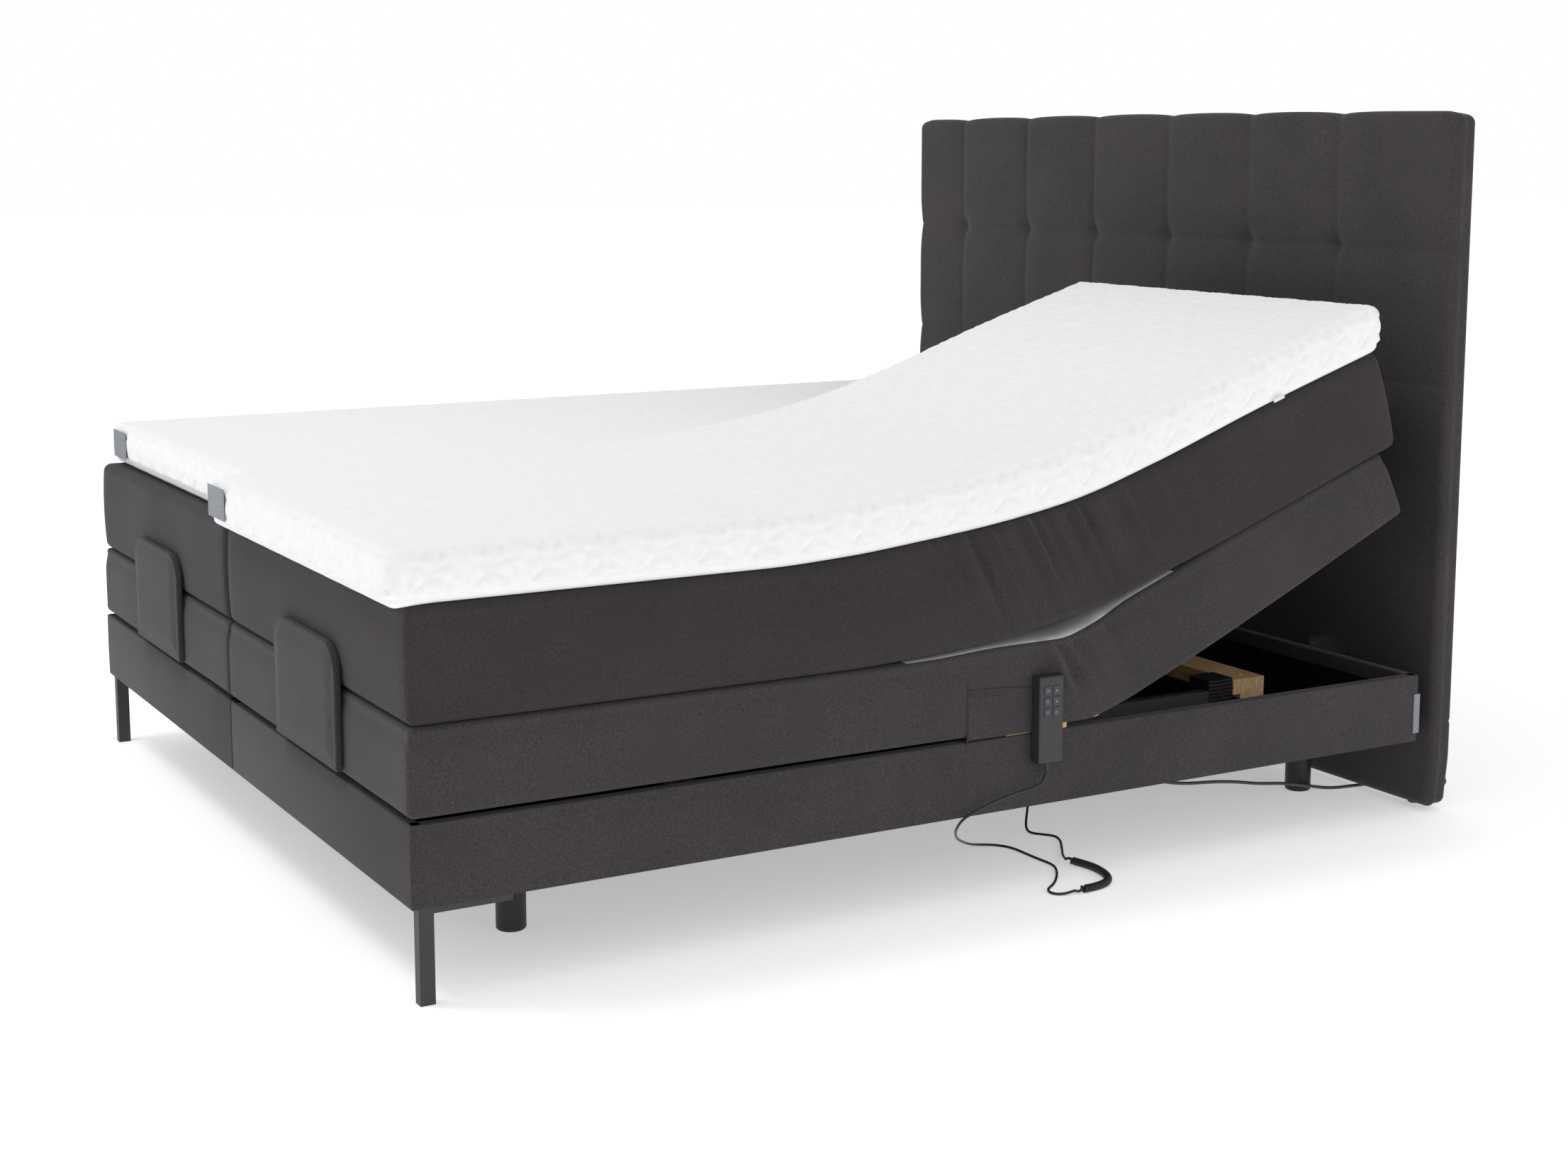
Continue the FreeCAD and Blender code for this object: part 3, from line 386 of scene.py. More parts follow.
def waves(values, lengths, seed):
    """A sum of sines of the given wavelengths with fixed, unrelated phases, from -1 to 1."""
    phases = np.random.default_rng(seed).uniform(0, 2 * math.pi, len(lengths))
    parts = [np.sin(2 * math.pi * values / length + phase) for length, phase in zip(lengths, phases)]
    return sum(parts) / len(parts)


def distances(line):
    """How far along a line each of its points lies."""
    return np.concatenate([[0], np.cumsum(np.linalg.norm(np.diff(line, axis=0), axis=1))])


def at_distances(line, wanted):
    """The points of a line at the wanted distances along it, joined by straight runs."""
    run = distances(line)
    return np.stack([np.interp(wanted, run, line[:, i]) for i in range(line.shape[1])], axis=1)


def smooth_curve(corners, count):
    """count places, evenly spaced by length, on a monotone cubic through the corners: at each
    corner the slope is the harmonic mean of its two chords, or 0 where they turn back."""
    knots = np.array(corners, dtype=float)
    steps = np.linalg.norm(np.diff(knots, axis=0), axis=1)
    chords = np.diff(knots, axis=0) / steps[:, None]
    agree = chords[:-1] * chords[1:] > 0
    total = np.where(agree, chords[:-1] + chords[1:], 1.0)
    means = np.where(agree, 2 * chords[:-1] * chords[1:] / total, 0.0)
    slopes = np.vstack([chords[:1], means, chords[-1:]])
    at = np.concatenate([[0], np.cumsum(steps)])
    fine = np.linspace(0, at[-1], 30 * len(knots))
    span = np.clip(np.searchsorted(at, fine, side="right") - 1, 0, len(steps) - 1)
    u = ((fine - at[span]) / steps[span])[:, None]
    length = steps[span][:, None]
    line = (
        knots[span] * (2 * u ** 3 - 3 * u ** 2 + 1)
        + knots[span + 1] * (3 * u ** 2 - 2 * u ** 3)
        + slopes[span] * length * (u ** 3 - 2 * u ** 2 + u)
        + slopes[span + 1] * length * (u ** 3 - u ** 2)
    )
    return at_distances(line, np.linspace(0, distances(line)[-1], count))


def tube_mesh(name, path, radius, material, sides=10):
    """A round tube along points in metres: each ring lies across the path, in a frame carried
    along by projecting the last one, and both ends are closed."""
    path = np.array(path, dtype=float)
    ahead = np.gradient(path, axis=0)
    ahead /= np.linalg.norm(ahead, axis=1, keepdims=True)
    across = np.cross(ahead[0], [0.3, 0.5, 0.81])
    rings = []
    angles = np.linspace(0, 2 * math.pi, sides, endpoint=False)
    for centre, forward in zip(path, ahead):
        across = across - forward * across.dot(forward)
        across /= np.linalg.norm(across)
        other = np.cross(forward, across)
        rings.append(centre + radius * (np.outer(np.cos(angles), across) + np.outer(np.sin(angles), other)))
    index = np.arange(len(path) * sides).reshape(len(path), sides)
    following = np.roll(index, -1, axis=1)
    quads = joined([index[:-1], following[:-1], following[1:], index[1:]])
    return mesh_object(name, np.vstack(rings), quads, material, 60.0, True)


# --- cords -----------------------------------------------------------------------------------
# Routes are (x, along, z) places, as the cords lie in the frame.
HAND_CORD_FROM_BASE = [
    (570, 1350, 166),
    (570, 1350, 136),
    (571, 1348, 96),
    (574, 1342, 58),
    (584, 1330, 26),
    (602, 1314, 6),
    (628, 1303, 2.45),
    (648, 1318, 2.45),
    (667, 1334, 2.45),
    (693, 1327, 2.45),
    (724, 1307, 2.45),
    (752, 1288, 3.0),
    (776, 1271, 5.0),
    (800, 1256, 7.05),
]
HAND_COIL = [
    (800, 1256, 7.4),
    (824, 1263, 7.4),
    (862, 1272, 7.4),
    (902, 1268, 7.4),
    (936, 1253, 7.4),
    (953, 1226, 7.4),
    (957, 1192, 7.4),
    (955, 1163, 7.4),
]
HANDSET_BOTTOM = node_box("handset_body")[0][2]
HAND_CORD_X = 915.15
HAND_CORD_TO_HANDSET = [
    (955, 1163, 7.05),
    (953, 1142, 3.5),
    (936, 1128, 2.45),
    (914, 1137, 2.45),
    (900, 1160, 2.45),
    (876, 1184, 2.45),
    (846, 1208, 2.45),
    (810, 1228, 2.45),
    (770, 1224, 2.45),
    (724, 1223, 2.45),
    (686, 1222, 2.45),
    (660, 1204, 3.0),
    (664, 1172, 9),
    (694, 1128, 24),
    (734, 1084, 46),
    (778, 1045, 68),
    (822, 1010, 90),
    (862, 982, 112),
    (890, 966, 130),
    (908, 966, 150),
    (HAND_CORD_X, 992, 163),
    (HAND_CORD_X, 1028, 173),
    (HAND_CORD_X, 1066, 181),
    (HAND_CORD_X, 1104, 185),
    (HAND_CORD_X, 1126, 192),
    (HAND_CORD_X, 1131, HANDSET_BOTTOM),
]
HAND_CORD_DIAMETER = 4.8
HAND_COIL_DIAMETER = 14.0
COIL_LOW, COIL_HIGH = node_box("mains_coil")
COIL_X = (COIL_LOW[0] + COIL_HIGH[0]) / 2
COIL_ALONG = (COIL_LOW[1] + COIL_HIGH[1]) / 2 - FOOT_Y
MAINS_DIAMETER = 6.4
MAINS_CORD = [
    (675, 1490, 166),
    (675, 1494, 135),
    (675, 1520, 98),
    (675, 1570, 74),
    (676, 1630, 62),
    (677, 1690, 58),
    (677, 1752, 50),
    (676, 1812, 37),
    (675, 1872, 30),
    (675, 1930, 18),
    (678, COIL_ALONG - 166, 3.25),
    (686, COIL_ALONG - 110, 3.25),
    (693, COIL_ALONG - 54, 3.25),
]


def cord_curve(name, route, diameter, material):
    """A round cord along a NURBS spline whose control points are the route."""
    data = bpy.data.curves.new(name, "CURVE")
    data.dimensions = "3D"
    data.bevel_depth = diameter / 2 * MM
    data.bevel_resolution = 3
    data.use_fill_caps = True
    data.resolution_u = 8 if len(route) < 100 else 3
    spline = data.splines.new("NURBS")
    spline.points.add(len(route) - 1)
    for control, where in zip(spline.points, route):
        control.co = (*place(*where), 1.0)
    spline.order_u = 3
    spline.use_endpoint_u = True
    if material:
        data.materials.append(material)
    piece = bpy.data.objects.new(name, data)
    SCENE.collection.objects.link(piece)
    return piece


def line_of(route):
    """Points of a route's NURBS spline, in millimetres as (x, along, z)."""
    guide = cord_curve("guide", route, 0.0, None)
    bpy.context.view_layer.update()
    mesh = bpy.data.meshes.new_from_object(guide)
    points = np.array([v.co[:] for v in mesh.vertices]) / MM
    bpy.data.objects.remove(guide)
    bpy.data.meshes.remove(mesh)
    return points - [0, FOOT_Y, 0]


POINTS_PER_TURN = 12
TURN_SPACING = 1.15             # the curls' spacing as a share of the cord's thickness


def helix(route, outer, thickness):
    """A curly cord's control points, twelve to a turn, round the line of the route. The turns lie
    a little more than one thickness apart and have the given outer diameter; the end turns are
    drawn out up to five times as far and narrow towards the line by a smooth step."""
    line = line_of(route)
    length = distances(line)[-1]
    turns = int(length / (thickness * TURN_SPACING))
    index = np.arange(turns * POINTS_PER_TURN)
    from_end = np.minimum(index, index[::-1])
    spacing = np.cumsum(1 + 4 * np.exp(-(from_end / 9) ** 2))
    centre = at_distances(line, (0.01 + 0.98 * spacing / spacing[-1]) * length)
    ahead = np.gradient(centre, axis=0)
    ahead /= np.linalg.norm(ahead, axis=1, keepdims=True)
    level = np.cross(ahead, [0, 0, 1])
    level /= np.linalg.norm(level, axis=1, keepdims=True)
    up = np.cross(level, ahead)
    step = 2 * math.pi / POINTS_PER_TURN
    angle = (index * step)[:, None]
    radius = (outer / 2 - thickness / 2) * smooth_step(from_end, -6, 12)[:, None]
    # a NURBS spline of order 3 cuts inside its control points by this share of the radius
    radius /= 0.5 + 0.5 * math.cos(step)
    return (centre + radius * (np.cos(angle) * level + np.sin(angle) * up)).tolist()


def coil_turns(turns_across, layers):
    """A put-away lead: clockwise turns side by side and layer on layer, from the coil's left
    side to its far side, then out to the plug."""
    middle = (COIL_HIGH[0] - COIL_LOW[0]) / 2 - turns_across * MAINS_DIAMETER / 2
    places_across = np.arange(turns_across) - (turns_across - 1) / 2
    order = []
    for level in range(layers):
        row = places_across[::-1] if level % 2 == 0 else places_across
        order += [(middle + p * MAINS_DIAMETER, MAINS_DIAMETER * (level + 0.5) + 0.05) for p in row]
    count = 14
    crossing = 4                    # how many points a turn takes to move over to the next one
    points = []
    for step in range((len(order) - 1) * count + count // 4 + 1):
        turn, part = divmod(step, count)
        radius, z = order[turn]
        if part > count - crossing and turn + 1 < len(order):
            share = (part - (count - crossing)) / crossing
            radius += (order[turn + 1][0] - radius) * share
            z += (order[turn + 1][1] - z) * share
        angle = math.pi - 2 * math.pi * step / count
        points.append((COIL_X + radius * math.cos(angle), COIL_ALONG + radius * math.sin(angle), z))
    return points


PLUG_LOW, PLUG_HIGH = node_box("mains_plug")
PLUG_X = (PLUG_LOW[0] + PLUG_HIGH[0]) / 2
PLUG_BACK = PLUG_HIGH[1] - FOOT_Y
hand_route = (
    HAND_CORD_FROM_BASE[:-1]
    + helix(HAND_COIL, HAND_COIL_DIAMETER, HAND_CORD_DIAMETER)
    + HAND_CORD_TO_HANDSET[1:]
)
hand_cord = cord_curve("handset_lead", hand_route, HAND_CORD_DIAMETER, CORD_PVC)
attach(hand_cord, "base")
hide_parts("handset_cord", "handset_coil")
coil_points = coil_turns(3, 3)
plug_tail = [
    (PLUG_X - 50, PLUG_BACK + 15, 20),
    (PLUG_X - 36, PLUG_BACK + 28, 22.4),
    (PLUG_X - 22, PLUG_BACK + 30, 20),
    (PLUG_X - 9, PLUG_BACK + 24, 16),
    (PLUG_X - 1.5, PLUG_BACK + 12, 12),
    (PLUG_X, PLUG_BACK, 9),
]
mains_cord = cord_curve("mains_lead", MAINS_CORD + coil_points + plug_tail, MAINS_DIAMETER, MAINS_PVC)
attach(mains_cord, "base")
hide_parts("mains_cord", "mains_coil")


# --- sprung layers ---------------------------------------------------------------------------
# The raised unit's layers bend over the seat. Each curve is a side view, (along, z), of a
# layer's lower or upper edge at rest, from the foot to the head.
RAISED = {
    "box": (
        [(0, BOX_BOTTOM), (640, BOX_BOTTOM), (1120, BOX_BOTTOM - 1), (1225, BOX_BOTTOM), (1290, 300),
         (1388, 338), (1648, 451), (1943, 588)],
        [(0, BOX_TOP), (640, BOX_TOP), (896, 422), (1060, 430), (1168, 431), (1240, 450), (1305, 482),
         (1383, 513), (1640, 612), (1888, 703)],
    ),
    "mattress": (
        [(0, 421), (600, 421), (747, 421.5), (880, 427), (1024, 438), (1169, 461), (1290, 488),
         (1400, 524), (1558, 577), (1930, 716)],
        [(0, 600), (600, 600), (747, 606), (900, 620), (1044, 637), (1197, 664), (1358, 712),
         (1597, 797), (1874, 889)],
    ),
    "topper": (
        [(-26, 597), (60, 601), (600, 601), (747, 607), (900, 621), (1044, 638), (1197, 665),
         (1358, 713), (1597, 798), (1877, 891)],
        [(-26, 682), (60, 686), (600, 687), (747, 695), (900, 710), (1044, 729), (1197, 759),
         (1358, 806), (1597, 889), (1872, 977)],
    ),
}
FLAT = {
    "box": ([(0, BOX_BOTTOM), (2000, BOX_BOTTOM)], [(0, BOX_TOP), (2000, BOX_TOP - 6)]),
    "mattress": ([(0, 421), (2000, 421)], [(0, 600), (2000, 600)]),
    "topper": ([(28, 601), (2028, 601)], [(28, 685), (2028, 685)]),
}
# Where each layer is cut and where it bends: along the bed, (cut at the seat, cut at the thigh,
# the back's bend, the thigh's bend, the knee's bend)
BENDS = {
    "box": (1075, 780, (1120, 1330), (1060, 900), (670, 530)),
    "mattress": (1060, 740, (1095, 1500), (1030, 770), (715, 485)),
    "topper": (1060, 740, (1095, 1500), (1030, 770), (715, 485)),
}
THICK = {"box": BOX_TOP - BOX_BOTTOM, "mattress": 179.0, "topper": 84.0}
RAISED_HEAD = {"box": 2000, "mattress": 2000, "topper": 1998}       # lying flat


def flat_ends(kind, raised):
    """Where a layer starts and ends along the bed when it lies flat."""
    lower = (RAISED if raised else FLAT)[kind][0]
    return lower[0][0], RAISED_HEAD[kind] if raised else lower[-1][0]


def bent(points, kind, raised):
    """Carries flat points (x, along, height) onto a layer: the share of the length picks a place
    on the lower and on the upper curve, and the share of the height lies between the two."""
    lower, upper = (RAISED if raised else FLAT)[kind]
    foot, head = flat_ends(kind, raised)
    share = (points[:, 1] - foot) / (head - foot)
    held = np.clip(share, 0, 1)
    curves = []
    for corners in (lower, upper):
        line = smooth_curve(corners, 600)
        at = held * 599
        where = np.stack([np.interp(at, np.arange(600), line[:, i]) for i in (0, 1)], axis=1)
        end = line[-1] - line[-2]
        end /= np.linalg.norm(end)
        beyond = (share - held)[:, None] * (head - foot)
        curves.append(where + beyond * end)
    height = (points[:, 2] / THICK[kind])[:, None]
    side_view = curves[0] * (1 - height) + curves[1] * height
    return np.column_stack([points[:, 0], side_view])


def to_metres(points):
    """Points (x, along, z) in millimetres as points of the frame in metres."""
    return (points + [0, FOOT_Y, 0]) * MM


def quilting(u, v, pitch, lift):
    """Fans in staggered rows: a disc of 0.56 pitch round each centre, the lower rows lying over
    the upper ones, split by seams every 36 degrees. The height is lift * (1 - exp(-d / 5)) for a
    point d millimetres from the nearest seam or rim."""
    row_height = pitch / 2
    radius = 0.56 * pitch
    height = np.zeros_like(u)
    covered = np.zeros(u.shape, dtype=bool)
    for offset in (-1, 0, 1):
        row = np.floor(v / row_height) + offset
        shift = np.where(np.mod(row, 2) > 0.5, pitch / 2, 0.0)
        across = np.mod(u - shift + pitch / 2, pitch) - pitch / 2
        up = v - row * row_height
        away = np.hypot(across, up)
        part = np.radians(36)
        turn = np.arctan2(up, across) / part
        seam = away * np.abs(turn - np.round(turn)) * part
        near = np.minimum(seam, radius - away)
        here = (away < radius) & ~covered
        height = np.where(here, lift * (1 - np.exp(-near / 5)), height)
        covered |= here
    return height


def side_wrinkles(points, outward, middle, spread, depth, lengths, seed):
    """Upright folds on the long sides: sines along the bed that lean a little, strongest round
    the bend."""
    along = points[:, 1] + 0.35 * points[:, 2]
    folds = waves(along, lengths, seed)
    strength = np.exp(-((points[:, 1] - middle) / spread) ** 2)
    return depth * folds * strength * np.abs(outward[:, 0])


def shaped(points, outward, amount):
    """Points moved outwards by an amount each."""
    return points + outward * amount[:, None]


def hollow_edge(points, thickness, depth):
    """How far the sides pull in towards the upper and lower edges, as a share of a half sine."""
    share = np.clip(points[:, 2] / thickness, 0, 1)
    return -depth * (1 - np.sin(math.pi * share) ** 0.6)


HOLLOW_BORDER = 50.0            # the box's underside is open inside this border, up to its deck
HOLLOW_DEPTH = 36.5
BOX_BEND = 1225.0               # where the box's cloth creases, along the bed


def box_detail(points, outward, raised):
    """The box's cloth: sides that pull in by a smooth step towards the upper edge, folds and one
    deep crease (a bell 30 mm wide) round the bend above the rails, a slow wave, and a hollow
    underside."""
    upper_edge = smooth_step(points[:, 2], THICK["box"] - 45, THICK["box"])
    amount = (1.2 - 6.0 * upper_edge) * (1 - np.abs(outward[:, 2]))
    above_rails = smooth_step(points[:, 2], 34, 80)
    folds = side_wrinkles(points, outward, 1235, 85, 16.0, [37.0, 53.0, 91.0, 131.0], 3)
    pinch = np.exp(-((points[:, 1] - BOX_BEND) / 30) ** 2) * np.abs(outward[:, 0])
    amount += (1.0 if raised else 0.15) * above_rails * (np.minimum(folds, 7.0) - 11.0 * pinch)
    amount += 1.2 * waves(points[:, 1] + points[:, 0], [240.0, 390.0], 8) * (1 - np.abs(outward[:, 2]))
    moved = shaped(points, outward, amount)
    inset = np.minimum(HALF_WIDTH - np.abs(points[:, 0]), np.abs(points[:, 0]) - UNIT_FACE)
    ends = np.minimum(points[:, 1], BED_LENGTH - points[:, 1])
    hollow = (outward[:, 2] < -0.7) & (inset > HOLLOW_BORDER) & (ends > HOLLOW_BORDER)
    moved[hollow, 2] += HOLLOW_DEPTH
    return moved


def mattress_detail(points, outward, raised):
    """The mattress's cover: sides that pull in towards both edges, upright folds that are deepest
    round the bend and grow upwards, and a slow wave."""
    amount = hollow_edge(points, THICK["mattress"], 5.0) * (1 - np.abs(outward[:, 2]))
    rise = 0.3 + 0.7 * smooth_step(points[:, 2], 0, THICK["mattress"] * 0.8)
    folds = side_wrinkles(points, outward, 1170, 210, 13.0, [26.0, 35.0, 49.0, 71.0], 5)
    folds += side_wrinkles(points, outward, 1330, 380, 3.0, [61.0, 97.0, 139.0], 9)
    amount += (1.0 if raised else 0.25) * rise * folds
    amount += 1.5 * waves(points[:, 1] - points[:, 0], [310.0, 520.0], 6) * (1 - np.abs(outward[:, 2]))
    return shaped(points, outward, amount - 2.0 * np.abs(outward[:, 0]))


ZIP_HEIGHT = 15.0
QUILT_PITCH = 96.0
TOP_LIFT, SIDE_LIFT = 2.2, 4.4  # how high the quilting stands on the top and on the sides


def topper_detail(points, outward, raised):
    """The topper's cover, the same raised or flat: quilted top and sides, a groove (a bell 3 mm
    wide) at the zip, scallops (half sines) below it, and sides that swell by a half sine."""
    top = outward[:, 2] > 0.7
    long_side = np.abs(outward[:, 0]) > 0.7
    below = outward[:, 2] < -0.7
    across = np.where(long_side, points[:, 1], points[:, 0])
    up = np.where(top, points[:, 1], points[:, 2])
    quilt = np.where(
        top, quilting(across, up, QUILT_PITCH, TOP_LIFT), quilting(across, up - 12, QUILT_PITCH, SIDE_LIFT)
    )
    upright = 1 - np.abs(outward[:, 2])
    above_zip = smooth_step(points[:, 2], ZIP_HEIGHT + 1, ZIP_HEIGHT + 8)
    quilt *= np.where(below, 0, np.where(top, 1, above_zip))
    groove = -5.0 * np.exp(-((points[:, 2] - ZIP_HEIGHT) / 3.0) ** 2) * upright
    scallop = 1.6 * np.abs(np.sin(math.pi * across / QUILT_PITCH)) * upright * (points[:, 2] < ZIP_HEIGHT)
    crown = 1.5 * np.sin(math.pi * np.clip(points[:, 2] / THICK["topper"], 0, 1)) * upright
    return shaped(points, outward, quilt + groove + scallop + crown)


# Each layer's edge radius, spacing of points across, along and up, finish, surface function,
# material slot, the solids it stands for and the body that its raised end follows.
LAYERS = {
    "box": dict(
        radius=11, steps=(30, 7, 9), material=BASE_FABRIC, detail=box_detail,
        slot="box_fabric", node="pad", seat_node="seat_pads", back_body="back_",
    ),
    "mattress": dict(
        radius=18, steps=(30, 6, 9), material=MATTRESS_FABRIC, detail=mattress_detail,
        slot="mattress_fabric", node="mattress", seat_node="seat_mattresses", back_body="back_layers_",
    ),
    "topper": dict(
        radius=22, steps=(7, 6, 4.5), material=TOPPER_KNIT, detail=topper_detail,
        slot="topper_knit", node="topper", seat_node="seat_toppers", back_body="back_layers_",
    ),
}


def cut_layer(name, points, faces, along_of_face, span, material):
    """One section of a layer: the faces whose middles lie in the span, with the cut ends closed."""
    chosen = faces[(along_of_face > span[0]) & (along_of_face < span[1])]
    used, renumbered = np.unique(chosen, return_inverse=True)
    return mesh_object(name, points[used], renumbered.reshape(-1, 4), material, 55.0, True)


def face_the_top(piece):
    """White ticking on the faces of a box section that look up, inside a fabric border."""
    piece.data.materials.append(WHITE_TICKING)
    count = len(piece.data.polygons)
    centre, normal = np.empty(3 * count), np.empty(3 * count)
    piece.data.polygons.foreach_get("center", centre)
    piece.data.polygons.foreach_get("normal", normal)
    across, along = np.abs(centre[0::3]) / MM, centre[1::3] / MM - FOOT_Y
    border = 16 + 22 * (1 - smooth_step(along, 820, 900)) + 22 * smooth_step(along, 1380, 1460)
    inside = (across > UNIT_FACE + border) & (across < HALF_WIDTH - border) & (along > 60)
    chosen = (inside & (normal[2::3] > 0.75)).astype(np.int32)
    piece.data.polygons.foreach_set("material_index", chosen)


def add_layer(kind, side_name):
    """One layer of one unit in three pieces, cut where it doesn't bend: the calf, thigh and back pieces.
    Each section lists bodies (thigh and calf, base and thigh, base and back), but no piece is attached to
    them."""
    spec = LAYERS[kind]
    raised = side_name == "right"
    side = SIDES[side_name]
    across = (UNIT_FACE, HALF_WIDTH) if side > 0 else (-HALF_WIDTH, -UNIT_FACE)
    seat_cut, thigh_cut, back_bend, thigh_bend, knee_bend = BENDS[kind]
    spans = [across, flat_ends(kind, raised), (0, THICK[kind])]
    flat, outward, faces = rounded_block(spans, spec["radius"], spec["steps"], (1, [thigh_cut, seat_cut]))
    along_of_face = flat[faces, 1].mean(axis=1)
    detailed = spec["detail"](flat, outward, raised)
    detailed[:, 0] = side * np.maximum(side * detailed[:, 0], UNIT_FACE)
    points = to_metres(bent(detailed, kind, raised))
    sections = [
        ("calf", (-999, thigh_cut), ("thigh_" + side_name, "calf_" + side_name), knee_bend),
        ("thigh", (thigh_cut, seat_cut), ("base", "thigh_" + side_name), thigh_bend),
        ("back", (seat_cut, 9999), ("base", spec["back_body"] + side_name), back_bend),
    ]
    for section, span, bodies, bend in sections:
        name = "_".join([kind, section, side_name])
        piece = cut_layer(name, points, faces, along_of_face, span, spec["material"])
        if kind == "box":
            face_the_top(piece)
        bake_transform(piece)
        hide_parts("_".join([section, spec["node"], side_name]), spec["seat_node"])


for side_name in SIDES:
    for kind in LAYERS:
        add_layer(kind, side_name)


# --- base covers -----------------------------------------------------------------------------
def swept_ring(name, outline, low, high, corner_radius, material):
    """A closed band round a rectangle with rounded corners: outline is (outward, z) points, and
    the path is four straight sides joined by quarter rounds, offset outward by each point."""
    path, directions = [], []
    centres = [(high[0], high[1], 0), (low[0], high[1], 90), (low[0], low[1], 180), (high[0], low[1], 270)]
    for x, along, start in centres:
        centre = np.array([x - corner_radius * np.sign(x - (low[0] + high[0]) / 2),
                           along - corner_radius * np.sign(along - (low[1] + high[1]) / 2)])
        for angle in np.radians(start + np.linspace(0, 90, 5)):
            direction = np.array([math.cos(angle), math.sin(angle)])
            path.append(centre + corner_radius * direction)
            directions.append(direction)
    path, directions = np.array(path), np.array(directions)
    ring = []
    for outward, z in outline:
        flat = path + outward * directions
        ring.append(np.column_stack([flat, np.full(len(flat), z)]))
    count = len(path)
    index = np.arange(len(outline) * count).reshape(len(outline), count)
    ahead, above = np.roll(index, -1, axis=1), np.roll(index, -1, axis=0)
    quads = joined([index, ahead, np.roll(above, -1, axis=1), above])
    return mesh_object(name, to_metres(np.vstack(ring)), quads, material, 40.0)


def add_base_cover(side_name):
    """Fabric over the base boards, turned in over their top edge and under their bottom edge."""
    side = SIDES[side_name]
    low = (UNIT_FACE if side > 0 else -HALF_WIDTH, 0)
    high = (HALF_WIDTH if side > 0 else -UNIT_FACE, BED_LENGTH)
    board, turned_in = 19.5, 26     # the board's thickness with its cloth, and the hem inside it
    outline = [
        # the outer face, from the lower edge to the upper one
        (-0.6, BASE_BOTTOM - 1.0), (0, BASE_BOTTOM + 1.2), (0.5, (BASE_BOTTOM + BASE_TOP) / 2),
        (0, BASE_TOP - 2), (-0.8, BASE_TOP + 0.6), (-2.6, BASE_TOP + 1.5),
        # over the board and down its inner face to the hem
        (-board + 1, BASE_TOP + 1.5), (-board - 0.8, BASE_TOP + 0.6), (-board - 1.4, BASE_TOP - 2),
        (-board - 1.4, BASE_TOP - turned_in), (-board - 0.3, BASE_TOP - turned_in - 0.5),
        # back along the cloth's underside, and in under the board
        (-board - 0.3, BASE_TOP - 1), (-board + 0.2, BASE_TOP + 0.3), (-1.6, BASE_TOP + 0.3),
        (-1.5, BASE_BOTTOM - 0.2), (-24, BASE_BOTTOM - 0.2), (-24, BASE_BOTTOM - 1.0),
    ]
    piece = swept_ring("base_cover_" + side_name, outline, low, high, 4.0, BASE_FABRIC)
    turn_faces_out(piece)
    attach(piece, "base")
    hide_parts("base_covers")


for side_name in SIDES:
    add_base_cover(side_name)


# --- headboard -------------------------------------------------------------------------------
COLUMN = 259.0                  # from one upright seam to the next
RIGHT_SEAM_X = 583.0
SEAMS = 6
FIRST_SEAM = 1066.0             # the level seams' heights
SECOND_SEAM = 815.0
THIRD_SEAM = 564.0
FOOT_SEAM = 175.0


def headboard_detail(points, outward):
    """Columns swell as (4 f (1 - f)) ** 0.5, where f is the distance from the nearest seam as a
    share of a column, at most half. Seams pull in as a narrow bell, and tufts as a round bell
    where the first level seam crosses the upright ones."""
    x, z = points[:, 0], points[:, 2]
    number = np.clip(np.round((RIGHT_SEAM_X - x) / COLUMN), 0, SEAMS - 1)
    away = np.abs(x - (RIGHT_SEAM_X - number * COLUMN))
    share = np.clip(away / COLUMN, 0, 0.5)
    swell = np.sqrt(4 * share * (1 - share))
    columns_show = smooth_step(z, SECOND_SEAM - 60, SECOND_SEAM + 60)
    front = np.clip(-outward[:, 1], 0, 1)
    amount = front * (8.0 * swell * columns_show + 8.0 * (1 - columns_show) + 3.0)
    amount -= front * columns_show * 2.0 * np.exp(-away / 4.0)
    for seam, depth in ((FIRST_SEAM, 1.0), (SECOND_SEAM, 0.9), (THIRD_SEAM, 0.7)):
        pulled = 3.5 * np.exp(-np.abs(z - seam) / 4.0) + 4.5 * np.exp(-((z - seam) / 40) ** 2)
        amount -= front * depth * pulled
    tuft = np.exp(-((away / 22.0) ** 2 + ((z - FIRST_SEAM) / 20.0) ** 2))
    amount -= front * 8.0 * tuft
    amount -= 1.5 * np.exp(-((z - FOOT_SEAM) / 2.5) ** 2) * (1 - np.abs(outward[:, 2]))
    moved = points + outward * amount[:, None]
    reach = np.abs(x) / HALF_WIDTH
    crown = 5.0 * swell ** 0.6 - 1.0 + 5.0 * (1 - reach ** 2)
    corner = 8.0 * smooth_step(reach, 0.95, 1.02)
    moved[:, 2] += (crown - corner) * smooth_step(z, HEAD_TOP - 170, HEAD_TOP)
    low_corner = smooth_step(-z, -120, -HEAD_LOW) * 8.0
    moved[:, 0] -= np.sign(x) * low_corner * smooth_step(reach, 0.93, 1.0)
    return moved


def add_headboard():
    """The headboard's upholstery, one rounded block with its seams and tufts drawn in."""
    spans = [(-HALF_WIDTH + 2, HALF_WIDTH - 2), (HEAD_FRONT + 10, HEAD_BACK - 1), (HEAD_LOW, HEAD_TOP)]
    points, outward, faces = rounded_block(spans, 14, (6, 10, 6))
    points = to_metres(headboard_detail(points, outward))
    piece = mesh_object("headboard_upholstery", points, faces, BASE_FABRIC, 60.0)
    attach(piece, "base")
    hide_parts("headboard_cushion", "headboard_core")


add_headboard()


# --- retainers, pocket and small trims -------------------------------------------------------
RETAINER_CORNER = 52.0


